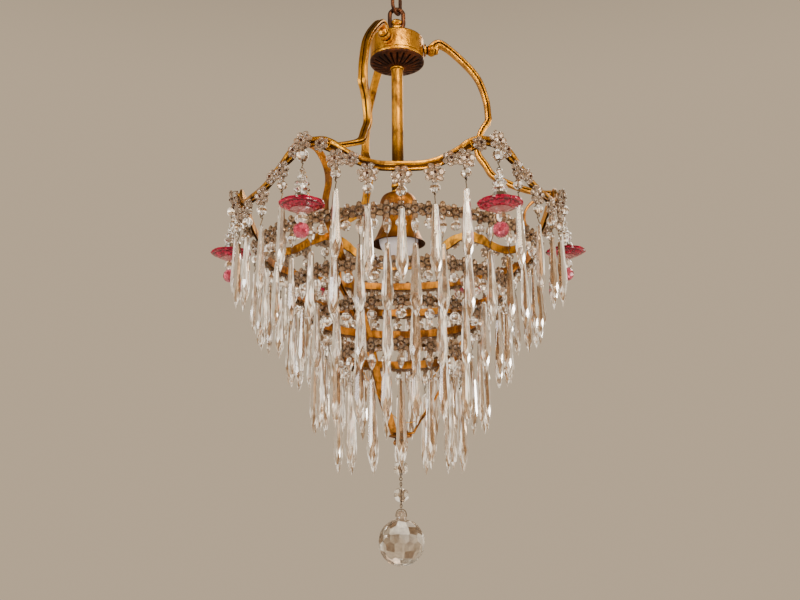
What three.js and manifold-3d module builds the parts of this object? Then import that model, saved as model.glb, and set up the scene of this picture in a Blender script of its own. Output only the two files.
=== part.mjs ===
// A basket chandelier: a gilt frame of a wavy crown hoop and four smaller hoops, hung by three
// cast arms from a drum cap, and dressed with glass rosettes, drops, spear prisms and pendants.
// Millimetres, +Z up. The origin is the inside top of the chain link that the chandelier hangs
// by, and the vertical centre line is the Z axis. Azimuth 0 is +X and the front is -Y.

import * as THREE from 'three';
import { mergeVertices } from 'three/addons/utils/BufferGeometryUtils.js';
import Module from 'manifold-3d';

const wasm = await Module();
wasm.setup();

// Fits
const GAP = 0.3; // left between pieces that touch

// Chain link and hanging ring
const LINK_LENGTH = 38; // over the outside
const LINK_WIDTH = 24;
const LINK_WIRE = 4.5; // wire diameter
const LINK_TURN = 60; // degrees that the link's plane is turned from the ring's
const RING_LENGTH = 34;
const RING_WIDTH = 22.4;
const RING_WIRE = 5.5;

// Nipple, drum cap and fluted dish
const NIPPLE_EYE_HEIGHT = 13.5; // from the drum's top to the ring's lowest bend
const NIPPLE_EYE_THICKNESS = 9;
const NIPPLE_EYE_PLAY = 1.3; // round the ring's wire
const NIPPLE_TOP_HEIGHT = 14; // above the eye
const NIPPLE_RADIUS = 7.2;
const NIPPLE_FLANGE = 1.5; // how far its flange stands out, and its neck goes in
const STEM_RADIUS = 4.5;
const STEM_LENGTH = 11;
const DRUM_RADIUS = 33.3;
const DRUM_HEIGHT = 29;
const DRUM_WALL = 1.6;
const DRUM_SHOULDER = 2.5; // rounding of its top edge
const DISH_FLUTES = 22;
const DISH_DROP = 9.5; // how far its middle hangs below the drum's rim
const DISH_WALL = 3;
const DISH_FLUTE_DEPTH = 1.4;

// Centre rod, lamp cup, lamp holder and bulb
const ROD_RADIUS = 7.2;
const ROD_BORE = 3.6;
const ROD_EXPOSED = 173; // from the drum's rim to the lamp cup
const ROD_COLLAR = 1; // how far the collar under the dish stands out
const ROD_COLLAR_HEIGHT = 2.4;
const ROD_THREAD_RADIUS = 5;
const ROD_THREAD_LENGTH = 6; // inside the lamp cup
const CUP_HEIGHT = 63;
const CUP_DOME_RADIUS = 21.8;
const CUP_WAIST_RADIUS = 18.8;
const CUP_RIM_RADIUS = 30.3;
const CUP_WALL = 1.3;
const HOLDER_RADIUS = 13.5;
const HOLDER_LENGTH = 27;
const HOLDER_BORE = 7.4;
const HOLDER_ROOF = 7; // solid part above the bore
const BULB_RADIUS = 23;
const BULB_CENTRE = 6; // above the cup's rim
const BULB_CAP_RADIUS = 6.8;
const BULB_CAP_REACH = 13; // how far the cap goes up into the holder

// Arms
const ARM_COUNT = 3;
const ARM_SWAYS = [0, -8, 9]; // degrees that each root is turned from the arm's foot
const ARM_WIDTH = 8.4;
const ARM_THICKNESS = 5.6;
const ARM_BOSS_RADIUS = 7; // cast knot at its root
const ARM_BOSS_LENGTH = 16;
const ARM_STUB_RADIUS = 2.6; // screw that passes through the drum's wall
const ARM_STUB_LENGTH = 7;
const ARM_SEAT = 14.5; // centre of the boss above the drum's rim
const ARM_CREST = 8; // how far the arm rises from its boss
const ARM_REACH = 77; // from the drum's side to the set-back
const ARM_FALL = 93; // from the boss down to the set-back
const ARM_SET_BACK = 7; // step inwards
const ARM_FOOT = 76; // the last run out to the hoop, and its height
const ARM_FOOT_RISE = 29;

// Crown hoop
const HOOP_RADIUS = 184;
const HOOP_DROP = 176; // from the drum's rim to the middle of the hoop's peaks
const HOOP_WAVE = 36; // from peak to dip
const HOOP_PEAKS = 6;
const HOOP_BUMP = 1.6; // how narrow the peaks are
const HOOP_HEIGHT = 10;
const HOOP_THICKNESS = 3.4;
const HOOP_GROOVE = 1;
const HOOP_STATIONS = 72; // flats round the hoop, one centred on each flower
const HOOP_PLATE_RADIUS = 6.5; // riveted plates at the peaks

// Lower hoops: how far each lies inside the one above, and below it
const TIER_2_INSET = 27;
const TIER_3_INSET = 35;
const TIER_4_INSET = 27;
const TIER_5_INSET = 27;
const TIER_2_DROP = 71;
const TIER_3_DROP = 44;
const TIER_4_DROP = 34;
const TIER_5_DROP = 43;
const HUB_DROP = 90; // from the lowest hoop to the hub
const TIER_2_STRANDS = 36;
const TIER_3_STRANDS = 28;
const TIER_4_STRANDS = 20;
const TIER_5_STRANDS = 14;
const BAND_HEIGHT = 9;
const BAND_THICKNESS = 2;

// Ribs and bottom finial
const RIB_WIDTH = 8;
const RIB_THICKNESS = 2.6;
const RIB_ROOT = 33; // how far in from the crown hoop a rib turns down
const HUB_RADIUS = 13;
const HUB_PLATE = 3;
const HUB_HEAD_RADIUS = 9;
const HUB_STUD_RADIUS = 3;
const FINIAL_LENGTH = 19;

// Glass
const CROWN_ROSETTE = 10.2; // radii of the flowers
const CROWN_PETALS = 5;
const CROWN_ROSETTE_DROP = 12; // below the hoop's centre line
const TIER_ROSETTE = 8;
const ROSETTE_DEPTH = 6;
const CROWN_PRISMS_PER_ARC = 5;
const SHORT_PRISM = 76; // on the crown and the two hoops below it
const LONG_PRISM = 96; // on the two lowest hoops
const PRISM_WIDTH = 11;
const PRISM_DEPTH = 8.5;
const PRISM_TOP = 5.4; // width at its top
const PRISM_WIDEST = 0.68; // share of the length above the widest place
const HOOK_LENGTH = 11;
const HOOK_RADIUS = 0.9;
const BEAD_RADIUS = 5;
const BEAD_LENGTH = 10;
const DROP_RADIUS = 4.6;
const DROP_LENGTH = 18;
const DROP_HOOK = 9; // wire between a drop and its prism
const PENDANT_OFFSET = 12; // outside the hoop's centre line
const PENDANT_WIRE = 9;
const SPIRE_LENGTH = 34;
const SPIRE_RADIUS = 7.5;
const SAUCER_RADIUS = 23;
const SAUCER_DEPTH = 11.5;
const PENDANT_BEAD_RADIUS = 6.5;
const PENDANT_BALL_RADIUS = 8;
const CHAIN_BEAD_RADIUS = 7.8;
const CHAIN_WIRE = 6.5; // each wire loop above and below a bead
const BALL_RADIUS = 25;
const BALL_NECK_RADIUS = 6;
const BALL_NECK_LENGTH = 9;
const BALL_WIRE = 2.5; // wire loop above the neck

// Places that follow from the sizes
const LINK_BOTTOM = -(LINK_LENGTH - 2 * LINK_WIRE); // upper side of the link's lowest bend
const RING_TOP = LINK_BOTTOM + GAP + RING_WIRE;
const RING_BEND = (RING_WIDTH - RING_WIRE) / 2;
const EYE_Z = RING_TOP - RING_LENGTH + RING_WIRE / 2;
const DRUM_TOP = EYE_Z - NIPPLE_EYE_HEIGHT;
const DRUM_RIM = DRUM_TOP - DRUM_HEIGHT;
const CUP_TOP = DRUM_RIM - ROD_EXPOSED;
const CUP_RIM = CUP_TOP - CUP_HEIGHT;
const HOOP_Z = DRUM_RIM - HOOP_DROP;
const HOOP_INNER = (HOOP_RADIUS - HOOP_THICKNESS / 2) * Math.cos(Math.PI / HOOP_STATIONS);
const HOOP_OUTER = HOOP_RADIUS + HOOP_THICKNESS / 2;
const TIER_2_RADIUS = HOOP_RADIUS - TIER_2_INSET;
const TIER_3_RADIUS = TIER_2_RADIUS - TIER_3_INSET;
const TIER_4_RADIUS = TIER_3_RADIUS - TIER_4_INSET;
const TIER_5_RADIUS = TIER_4_RADIUS - TIER_5_INSET;
const TIER_2_Z = HOOP_Z - TIER_2_DROP;
const TIER_3_Z = TIER_2_Z - TIER_3_DROP;
const TIER_4_Z = TIER_3_Z - TIER_4_DROP;
const TIER_5_Z = TIER_4_Z - TIER_5_DROP;
const HUB_Z = TIER_5_Z - HUB_DROP;
const FINIAL_TIP = HUB_Z - HUB_PLATE - FINIAL_LENGTH;
const BEAD_AXIS = HOOP_OUTER + ROSETTE_DEPTH * 0.4; // radius at which the crown's beads hang
const TIERS = [
  { name: 'tier_2', radius: TIER_2_RADIUS, z: TIER_2_Z, strands: TIER_2_STRANDS, prism: SHORT_PRISM },
  { name: 'tier_3', radius: TIER_3_RADIUS, z: TIER_3_Z, strands: TIER_3_STRANDS, prism: SHORT_PRISM },
  { name: 'tier_4', radius: TIER_4_RADIUS, z: TIER_4_Z, strands: TIER_4_STRANDS, prism: LONG_PRISM },
  { name: 'tier_5', radius: TIER_5_RADIUS, z: TIER_5_Z, strands: TIER_5_STRANDS, prism: LONG_PRISM },
];

// Finishes
const gilt = { color: 0xc8963c, metalness: 1, roughness: 0.35 };
const darkGilt = { color: 0x8a5a22, metalness: 1, roughness: 0.5 };
const bronze = { color: 0x4a2f1c, metalness: 1, roughness: 0.5 };
const clearGlass = { color: 0xeee4d0, metalness: 0, roughness: 0.05 };
const pinkGlass = { color: 0xd24a78, metalness: 0, roughness: 0.1 };
const porcelain = { color: 0xf0ece4, metalness: 0, roughness: 0.25 };
const frostedGlass = { color: 0xf4efff, metalness: 0, roughness: 0.4 };

const chandelier = new THREE.Group();
const radians = THREE.MathUtils.degToRad;

// Closed meshes and solids

// A mesh's shared vertices are merged and its collapsed triangles dropped, and it is turned
// right side out where its volume comes out negative.
function solidOf(geometry) {
  const bare = geometry.clone();
  bare.deleteAttribute('normal');
  bare.deleteAttribute('uv');
  const merged = mergeVertices(bare, 1e-4);
  const points = merged.getAttribute('position').array;
  const corners = [];
  const index = merged.index.array;
  for (let i = 0; i < index.length; i += 3) {
    const [a, b, c] = [index[i], index[i + 1], index[i + 2]];
    if (a !== b && b !== c && c !== a) {
      corners.push(a, b, c);
    }
  }
  if (signedVolume(points, corners) < 0) {
    corners.reverse();
  }
  const mesh = new wasm.Mesh({
    numProp: 3,
    vertProperties: new Float32Array(points),
    triVerts: new Uint32Array(corners),
  });
  return new wasm.Manifold(mesh);
}

function signedVolume(points, corners) {
  const [a, b, c] = [new THREE.Vector3(), new THREE.Vector3(), new THREE.Vector3()];
  let volume = 0;
  for (let i = 0; i < corners.length; i += 3) {
    a.fromArray(points, 3 * corners[i]);
    b.fromArray(points, 3 * corners[i + 1]);
    c.fromArray(points, 3 * corners[i + 2]);
    volume += a.dot(b.cross(c)) / 6;
  }
  return volume;
}

function geometryOf(solid) {
  const mesh = solid.getMesh();
  const geometry = new THREE.BufferGeometry();
  geometry.setAttribute('position', new THREE.BufferAttribute(mesh.vertProperties, 3));
  geometry.setIndex(new THREE.BufferAttribute(mesh.triVerts, 1));
  const flat = geometry.toNonIndexed();
  flat.computeVertexNormals();
  return flat;
}

function joined(geometries) {
  const solids = geometries.map(solidOf);
  return solids.reduce((whole, solid) => whole.add(solid));
}

// Rings of points, all of one count, skinned in order. An open run gets flat ends.
function loft(rings, isLoop) {
  const sides = rings[0].length;
  const bands = isLoop ? rings.length : rings.length - 1;
  const corners = [];
  for (let i = 0; i < bands; i += 1) {
    const here = i * sides;
    const next = ((i + 1) % rings.length) * sides;
    for (let j = 0; j < sides; j += 1) {
      const k = (j + 1) % sides;
      corners.push(here + j, here + k, next + k, here + j, next + k, next + j);
    }
  }
  if (!isLoop) {
    const last = bands * sides;
    for (let j = 1; j < sides - 1; j += 1) {
      corners.push(0, j + 1, j, last, last + j, last + j + 1);
    }
  }
  const geometry = new THREE.BufferGeometry();
  geometry.setAttribute('position', new THREE.Float32BufferAttribute(
    rings.flat().flatMap((point) => point.toArray()), 3));
  geometry.setIndex(corners);
  return geometry;
}

// A turned shape about the Z axis, from pairs of radius and height
function turned(profile, sides) {
  const outline = profile.map(([radius, z]) => new THREE.Vector2(radius, z));
  return new THREE.LatheGeometry(outline, sides).rotateX(Math.PI / 2);
}

// A hollow turned shape: its outline closes on itself
function turnedShell(profile, sides) {
  return turned([...profile, profile[0]], sides);
}

// A round bar between two heights on the Z axis
function bar(radius, low, high, sides) {
  return turned([[0, low], [radius, low], [radius, high], [0, high]], sides);
}

// A strip along a path in the XZ plane. Its section is given as pairs: across, along Y, and
// out, along the path's left-hand normal.
function strip(path, section) {
  const rings = path.map((point, i) => {
    const before = path[Math.max(i - 1, 0)];
    const after = path[Math.min(i + 1, path.length - 1)];
    const along = new THREE.Vector2(after[0] - before[0], after[1] - before[1]).normalize();
    return section.map(([across, out]) => new THREE.Vector3(
      point[0] - along.y * out, across, point[1] + along.x * out));
  });
  return loft(rings, false);
}

// Points along a smooth curve through the given pairs
function smooth(pairs, steps) {
  const curve = new THREE.SplineCurve(pairs.map(([x, z]) => new THREE.Vector2(x, z)));
  return curve.getSpacedPoints(steps).map((point) => point.toArray());
}

// A link of round wire in the XZ plane, centred on the origin: two straight sides and two bends
function wireLink(length, width, wire, sides, bendSteps) {
  const bend = (width - wire) / 2;
  const straight = (length - width) / 2;
  const rings = [];
  for (let end = 0; end < 2; end += 1) {
    for (let i = 0; i <= bendSteps; i += 1) {
      const angle = Math.PI * (end + i / bendSteps);
      const outward = new THREE.Vector3(Math.cos(angle), 0, Math.sin(angle));
      const middle = new THREE.Vector3(0, 0, end ? -straight : straight);
      middle.addScaledVector(outward, bend);
      rings.push(circle(wire / 2, sides, middle, outward, new THREE.Vector3(0, 1, 0)));
    }
  }
  return loft(rings, true);
}

function circle(radius, sides, middle, across, up) {
  return Array.from({ length: sides }, (_, i) => {
    const angle = (2 * Math.PI * i) / sides;
    return middle.clone()
      .addScaledVector(across, radius * Math.cos(angle))
      .addScaledVector(up, radius * Math.sin(angle));
  });
}

// Names and places a finished piece
function place(name, shape, finish, parent = chandelier) {
  const geometry = shape instanceof THREE.BufferGeometry ? geometryOf(solidOf(shape)) : geometryOf(shape);
  const mesh = new THREE.Mesh(geometry, new THREE.MeshStandardMaterial(finish));
  mesh.name = name;
  parent.add(mesh);
  return mesh;
}

// A group turned to an azimuth in degrees
function turnedTo(azimuth) {
  const group = new THREE.Group();
  group.rotation.z = radians(azimuth);
  chandelier.add(group);
  return group;
}

// Hanging parts

function makeLink() {
  const link = place('chain_link', wireLink(LINK_LENGTH, LINK_WIDTH, LINK_WIRE, 6, 8), bronze);
  link.position.z = LINK_WIRE - LINK_LENGTH / 2;
  link.rotation.z = radians(LINK_TURN);
}

function makeRing() {
  const ring = place('hanging_ring', wireLink(RING_LENGTH, RING_WIDTH, RING_WIRE, 6, 8), bronze);
  ring.position.z = RING_TOP - RING_LENGTH / 2;
}

// A turned nipple with flats, and an eye that is wide enough for the ring's curved bend
function makeNipple() {
  const half = NIPPLE_EYE_THICKNESS / 2;
  const rise = RING_BEND - Math.sqrt(RING_BEND ** 2 - half ** 2);
  const eyeRadius = RING_WIRE / 2 + rise / 2 + NIPPLE_EYE_PLAY;
  const eye = NIPPLE_EYE_HEIGHT;
  const top = eye + NIPPLE_TOP_HEIGHT;
  const neck = eye - RING_WIRE;
  const flange = NIPPLE_RADIUS + NIPPLE_FLANGE;
  const waist = NIPPLE_RADIUS - NIPPLE_FLANGE;
  const profile = [
    [0, -STEM_LENGTH], [STEM_RADIUS, -STEM_LENGTH], [STEM_RADIUS, GAP], [flange, GAP],
    [flange, neck * 0.25], [waist, neck * 0.4], [NIPPLE_RADIUS, neck * 0.7],
    [NIPPLE_RADIUS, eye + RING_WIRE], [waist, eye + RING_WIRE * 1.2],
    [waist * 0.93, top - NIPPLE_FLANGE * 2], [waist * 0.5, top], [0, top],
  ];
  let nipple = solidOf(turned(profile, 12));
  for (const side of [-1, 1]) {
    const flat = new THREE.BoxGeometry(NIPPLE_RADIUS, 4 * NIPPLE_RADIUS, top);
    flat.translate(side * (half + NIPPLE_RADIUS / 2), 0, neck + top / 2);
    nipple = nipple.subtract(solidOf(flat));
  }
  const bore = bar(eyeRadius, -2 * NIPPLE_RADIUS, 2 * NIPPLE_RADIUS, 12).rotateY(Math.PI / 2);
  bore.translate(0, 0, eye + rise / 2);
  nipple = nipple.subtract(solidOf(bore));
  place('cap_nipple', nipple, gilt).position.z = DRUM_TOP;
}

function makeDrum() {
  const hole = STEM_RADIUS + GAP;
  const inside = DRUM_RADIUS - DRUM_WALL;
  const profile = [
    [hole, DRUM_TOP], [DRUM_RADIUS - DRUM_SHOULDER, DRUM_TOP], [DRUM_RADIUS, DRUM_TOP - DRUM_SHOULDER],
    [DRUM_RADIUS, DRUM_RIM], [inside, DRUM_RIM], [inside, DRUM_TOP - DRUM_SHOULDER],
    [inside - DRUM_SHOULDER, DRUM_TOP - DRUM_WALL], [hole, DRUM_TOP - DRUM_WALL],
  ];
  let drum = solidOf(turnedShell(profile, 26));
  for (let i = 0; i < ARM_COUNT; i += 1) {
    const bore = bar(ARM_STUB_RADIUS + GAP, inside - DRUM_WALL, DRUM_RADIUS + DRUM_WALL, 8);
    bore.rotateY(Math.PI / 2);
    bore.translate(0, 0, DRUM_RIM + ARM_SEAT).rotateZ(radians((360 * i) / ARM_COUNT + ARM_SWAYS[i]));
    drum = drum.subtract(solidOf(bore));
  }
  place('cap_drum', drum, gilt);
}

// A domed dish that closes the drum from below, with flutes that run out from the rod
function makeDish() {
  const hole = ROD_RADIUS + GAP;
  const top = DRUM_RIM - GAP;
  const low = DRUM_RIM - DISH_DROP;
  const middle = (DRUM_RADIUS + hole) / 2;
  const columns = 2 * DISH_FLUTES;
  const rings = [];
  for (let i = 0; i < columns; i += 1) {
    const angle = (2 * Math.PI * i) / columns;
    const lift = i % 2 ? DISH_FLUTE_DEPTH : 0;
    const outline = [
      [DRUM_RADIUS, top], [DRUM_RADIUS, top - DISH_WALL], [middle, low + DISH_DROP * 0.2 + lift],
      [hole, low + lift / 4], [hole, low + DISH_WALL], [middle, low + DISH_DROP * 0.2 + DISH_WALL],
      [DRUM_RADIUS - DRUM_WALL, top],
    ];
    rings.push(outline.map(([radius, z]) => new THREE.Vector3(
      radius * Math.cos(angle), radius * Math.sin(angle), z)));
  }
  place('cap_dish', loft(rings, true), darkGilt);
}

// A tube that the nipple screws into at the top and the lamp holder screws onto at the bottom
function makeRod() {
  const top = DRUM_TOP - DRUM_WALL - GAP;
  const socket = STEM_RADIUS + GAP;
  const step = DRUM_TOP - STEM_LENGTH - 2 * GAP;
  const collar = DRUM_RIM - DISH_DROP - GAP;
  const bottom = CUP_TOP - CUP_WALL - 2 * GAP - ROD_THREAD_LENGTH;
  const profile = [
    [socket, top], [ROD_RADIUS, top], [ROD_RADIUS, collar], [ROD_RADIUS + ROD_COLLAR, collar],
    [ROD_RADIUS + ROD_COLLAR, collar - ROD_COLLAR_HEIGHT * 0.7], [ROD_RADIUS, collar - ROD_COLLAR_HEIGHT],
    [ROD_RADIUS, CUP_TOP + GAP], [ROD_THREAD_RADIUS, CUP_TOP + GAP], [ROD_THREAD_RADIUS, bottom],
    [ROD_BORE, bottom], [ROD_BORE, step], [socket, step],
  ];
  place('centre_rod', turnedShell(profile, 12), gilt);
}

// A bell: a dome, a waist and a flared rim, of one wall thickness
function makeCup() {
  const hole = ROD_THREAD_RADIUS + GAP;
  const outer = [
    [CUP_DOME_RADIUS * 0.4, 0], [CUP_DOME_RADIUS * 0.8, -0.06], [CUP_DOME_RADIUS, -0.2],
    [CUP_DOME_RADIUS * 0.95, -0.33], [CUP_WAIST_RADIUS, -0.48], [CUP_WAIST_RADIUS * 1.1, -0.66],
    [CUP_RIM_RADIUS * 0.82, -0.84], [CUP_RIM_RADIUS, -1],
  ].map(([radius, share]) => [radius, CUP_TOP + share * CUP_HEIGHT]);
  const inner = outer.slice(1).reverse().map(([radius, z]) => [radius - CUP_WALL, z]);
  inner[inner.length - 1][1] -= CUP_WALL;
  const profile = [[hole, CUP_TOP], ...outer, ...inner, [hole, CUP_TOP - CUP_WALL]];
  place('lamp_cup', turnedShell(profile, 18), gilt);
}

function makeHolder() {
  const top = CUP_TOP - CUP_WALL - GAP;
  const bottom = top - HOLDER_LENGTH;
  const socket = ROD_THREAD_RADIUS + GAP;
  const profile = [
    [socket, top], [HOLDER_RADIUS, top - HOLDER_ROOF * 0.8], [HOLDER_RADIUS, bottom],
    [HOLDER_BORE, bottom], [HOLDER_BORE, top - HOLDER_ROOF], [socket, top - HOLDER_ROOF],
  ];
  place('lamp_holder', turnedShell(profile, 12), porcelain);
}

function makeBulb() {
  const centre = CUP_RIM + BULB_CENTRE;
  const holderMouth = CUP_TOP - CUP_WALL - GAP - HOLDER_LENGTH;
  const neck = Math.asin(BULB_CAP_RADIUS / BULB_RADIUS);
  const profile = [[0, centre - BULB_RADIUS]];
  for (let i = 1; i <= 7; i += 1) {
    const angle = ((Math.PI - neck) * i) / 7;
    profile.push([BULB_RADIUS * Math.sin(angle), centre - BULB_RADIUS * Math.cos(angle)]);
  }
  profile.push([BULB_CAP_RADIUS, holderMouth + BULB_CAP_REACH * 0.85]);
  profile.push([BULB_CAP_RADIUS / 2, holderMouth + BULB_CAP_REACH]);
  profile.push([0, holderMouth + BULB_CAP_REACH]);
  place('bulb', turned(profile, 12), frostedGlass);
}

// Frame

// Turns a part about the Z axis, wholly up to one radius and not at all beyond another
function swayed(geometry, angle, whole, none) {
  const points = geometry.getAttribute('position');
  const axis = new THREE.Vector3(0, 0, 1);
  for (let i = 0; i < points.count; i += 1) {
    const point = new THREE.Vector3().fromBufferAttribute(points, i);
    const share = 1 - THREE.MathUtils.smoothstep(point.x, whole, none);
    point.applyAxisAngle(axis, angle * share);
    points.setXYZ(i, point.x, point.y, point.z);
  }
  return geometry;
}

// A cast arm: a knot on the drum's side, an outward sweep that ends in a set-back, and a lower
// sweep that comes in and out again to the inside of a hoop peak
function makeArms() {
  const face = DRUM_RADIUS + GAP;
  const seat = DRUM_RIM + ARM_SEAT;
  const end = [HOOP_INNER - GAP - 0.1, HOOP_Z + HOOP_HEIGHT / 4];
  const upper = smooth([
    [face + ARM_BOSS_LENGTH / 2, seat], [face + ARM_REACH * 0.26, seat + ARM_CREST],
    [face + ARM_REACH * 0.56, seat - ARM_FALL * 0.12], [face + ARM_REACH * 0.84, seat - ARM_FALL * 0.41],
    [face + ARM_REACH * 0.97, seat - ARM_FALL * 0.73], [face + ARM_REACH, seat - ARM_FALL],
  ], 10);
  const lower = smooth([
    [face + ARM_REACH - ARM_SET_BACK, seat - ARM_FALL - ARM_SET_BACK],
    [face + ARM_REACH * 0.86, seat - ARM_FALL * 1.22], [face + ARM_REACH * 0.81, seat - ARM_FALL * 1.46],
    [end[0] - ARM_FOOT, end[1] + ARM_FOOT_RISE], [end[0] - ARM_FOOT * 0.88, end[1] + ARM_FOOT_RISE * 0.5],
    [end[0] - ARM_FOOT * 0.64, end[1] + ARM_FOOT_RISE * 0.24], [end[0] - ARM_FOOT * 0.35, end[1]],
    [end[0] - ARM_FOOT * 0.12, end[1]], end,
  ], 10);
  const half = ARM_WIDTH / 2;
  const deep = ARM_THICKNESS / 2;
  const section = [
    [-half, -deep], [half, -deep], [half, deep / 2], [half / 2, deep], [-half / 2, deep], [-half, deep / 2],
  ];
  const boss = turned([
    [0, -ARM_STUB_LENGTH], [ARM_STUB_RADIUS, -ARM_STUB_LENGTH], [ARM_STUB_RADIUS, 0],
    [ARM_BOSS_RADIUS, 0], [ARM_BOSS_RADIUS, ARM_BOSS_LENGTH * 0.15],
    [ARM_BOSS_RADIUS * 0.65, ARM_BOSS_LENGTH * 0.25], [ARM_BOSS_RADIUS, ARM_BOSS_LENGTH * 0.6],
    [ARM_BOSS_RADIUS * 0.8, ARM_BOSS_LENGTH * 0.9], [0, ARM_BOSS_LENGTH * 1.15],
  ], 8);
  boss.rotateY(Math.PI / 2).translate(face, 0, seat);
  const whole = face + ARM_REACH;
  const none = end[0] - ARM_FOOT * 0.35;
  for (let i = 0; i < ARM_COUNT; i += 1) {
    const sway = radians(ARM_SWAYS[i]);
    const pieces = [strip([...upper, ...lower], section), boss.clone()];
    const arm = joined(pieces.map((piece) => swayed(piece, sway, whole, none)));
    place(`arm_${i + 1}`, arm, gilt, turnedTo((360 * i) / ARM_COUNT));
  }
}

// Height of the crown hoop's centre line at an azimuth in degrees: six narrow peaks, wide dips
function hoopHeight(azimuth) {
  const wave = Math.cos(radians((azimuth * HOOP_PEAKS) / 2)) ** 2;
  return HOOP_Z - HOOP_WAVE * (1 - wave ** HOOP_BUMP);
}

// A flower of glass facing +X with its middle on the origin, thickest in the middle. Its back
// runs to a point that is seated in what carries it. Its lowest petal runs on into what hangs
// from it, given as rings of [half depth, half width, height] that end in a point.
function flowerWithDrop(radius, petals, notch, seat, hanging, tip) {
  const count = 2 * petals;
  const front = new THREE.Vector3(ROSETTE_DEPTH / 2, 0, 0);
  const back = new THREE.Vector3(...seat);
  const points = [front, back];
  const corners = [];
  for (let i = 1; i < count; i += 1) {
    const angle = (2 * Math.PI * i) / count;
    const reach = i % 2 ? radius * notch : radius;
    points.push(new THREE.Vector3(0, reach * Math.sin(angle), -reach * Math.cos(angle)));
    if (i > 1) {
      corners.push(0, i, i + 1, 1, i + 1, i);
    }
  }
  let upper = [0, 2, 1, count];
  for (const [depth, width, z] of hanging) {
    const first = points.length;
    points.push(new THREE.Vector3(depth, 0, z), new THREE.Vector3(0, width, z));
    points.push(new THREE.Vector3(-depth, 0, z), new THREE.Vector3(0, -width, z));
    const lower = [first, first + 1, first + 2, first + 3];
    for (let j = 0; j < 4; j += 1) {
      const k = (j + 1) % 4;
      corners.push(upper[j], lower[j], lower[k], upper[j], lower[k], upper[k]);
    }
    upper = lower;
  }
  points.push(new THREE.Vector3(0, 0, tip));
  for (let j = 0; j < 4; j += 1) {
    corners.push(upper[j], points.length - 1, upper[(j + 1) % 4]);
  }
  const geometry = new THREE.BufferGeometry().setFromPoints(points);
  geometry.setIndex(corners);
  return geometry;
}

function turnedAbout(geometry, radius, z, azimuth) {
  return geometry.clone().translate(radius, 0, z).rotateZ(radians(azimuth));
}

// The crown hoop with its riveted peak plates, and the flowers and beads wired to its face
function makeHoop() {
  const high = HOOP_HEIGHT / 2;
  const thick = HOOP_THICKNESS / 2;
  const section = [
    [-thick, -high], [thick, -high], [thick - HOOP_GROOVE, 0], [thick, high], [-thick, high],
  ];
  const rings = Array.from({ length: HOOP_STATIONS }, (_, i) => {
    const azimuth = (360 * (i + 0.5)) / HOOP_STATIONS;
    return section.map(([out, up]) => new THREE.Vector3(HOOP_RADIUS + out, 0, hoopHeight(azimuth) + up)
      .applyAxisAngle(new THREE.Vector3(0, 0, 1), radians(azimuth)));
  });
  const pieces = [loft(rings, true)];
  const plate = bar(HOOP_PLATE_RADIUS, -thick, thick, 8).rotateY(Math.PI / 2);
  const wire = bar(HOOK_RADIUS * 2, 0, PENDANT_OFFSET, 4).rotateY(Math.PI / 2);
  const bead = [
    [HOOK_RADIUS, HOOK_RADIUS, -CROWN_ROSETTE],
    [BEAD_RADIUS, BEAD_RADIUS, -CROWN_ROSETTE - BEAD_LENGTH * 0.6],
  ];
  const beadTip = -CROWN_ROSETTE - BEAD_LENGTH;
  const hoopSeat = [HOOP_OUTER - HOOP_GROOVE - 0.2 - BEAD_AXIS, 0, CROWN_ROSETTE_DROP - high / 2];
  const arcFlower = flowerWithDrop(CROWN_ROSETTE, CROWN_PETALS, 0.66, hoopSeat, bead, beadTip);
  const peakSeat = [-ROSETTE_DEPTH / 2, 0, 0];
  const peakFlower = flowerWithDrop(CROWN_ROSETTE, CROWN_PETALS, 0.66, peakSeat, bead, beadTip);
  const count = HOOP_PEAKS * (CROWN_PRISMS_PER_ARC + 1);
  for (let i = 0; i < count; i += 1) {
    const azimuth = (360 * i) / count;
    const z = hoopHeight(azimuth);
    if (i % (CROWN_PRISMS_PER_ARC + 1) === 0) {
      const peakZ = z - CROWN_ROSETTE_DROP * 0.3;
      pieces.push(turnedAbout(plate, HOOP_RADIUS, z, azimuth));
      pieces.push(turnedAbout(wire, HOOP_RADIUS, peakZ, azimuth));
      pieces.push(turnedAbout(peakFlower, HOOP_RADIUS + PENDANT_OFFSET, peakZ, azimuth));
    } else {
      pieces.push(turnedAbout(arcFlower, BEAD_AXIS, z - CROWN_ROSETTE_DROP, azimuth));
    }
  }
  place('crown_hoop', joined(pieces), gilt);
}

// The height that a crown prism hangs from, just below its bead, and that a pendant hangs from
function prismHook(azimuth) {
  return hoopHeight(azimuth) - CROWN_ROSETTE_DROP - CROWN_ROSETTE - BEAD_LENGTH - GAP;
}

function pendantHook(azimuth) {
  return prismHook(azimuth) + CROWN_ROSETTE_DROP * 0.7;
}

// A spear prism on its wire: narrow at the top, widest low down, and pointed
function makeCrownPrisms() {
  const profile = [
    [0, 0], [HOOK_RADIUS, -HOOK_LENGTH], [PRISM_TOP / 2, -HOOK_LENGTH - 2],
    [PRISM_WIDTH / 2, -HOOK_LENGTH - SHORT_PRISM * PRISM_WIDEST], [0, -HOOK_LENGTH - SHORT_PRISM],
  ];
  const prism = turned(profile.reverse(), 4).scale(PRISM_DEPTH / PRISM_WIDTH, 1, 1);
  const step = 360 / HOOP_PEAKS / (CROWN_PRISMS_PER_ARC + 1);
  for (let arc = 0; arc < HOOP_PEAKS; arc += 1) {
    for (let i = 1; i <= CROWN_PRISMS_PER_ARC; i += 1) {
      const azimuth = (360 / HOOP_PEAKS) * arc + i * step;
      const name = `crown_prism_${arc + 1}_${i}`;
      place(name, prism, clearGlass, turnedTo(azimuth)).position.set(BEAD_AXIS, 0, prismHook(azimuth));
    }
  }
}

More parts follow.
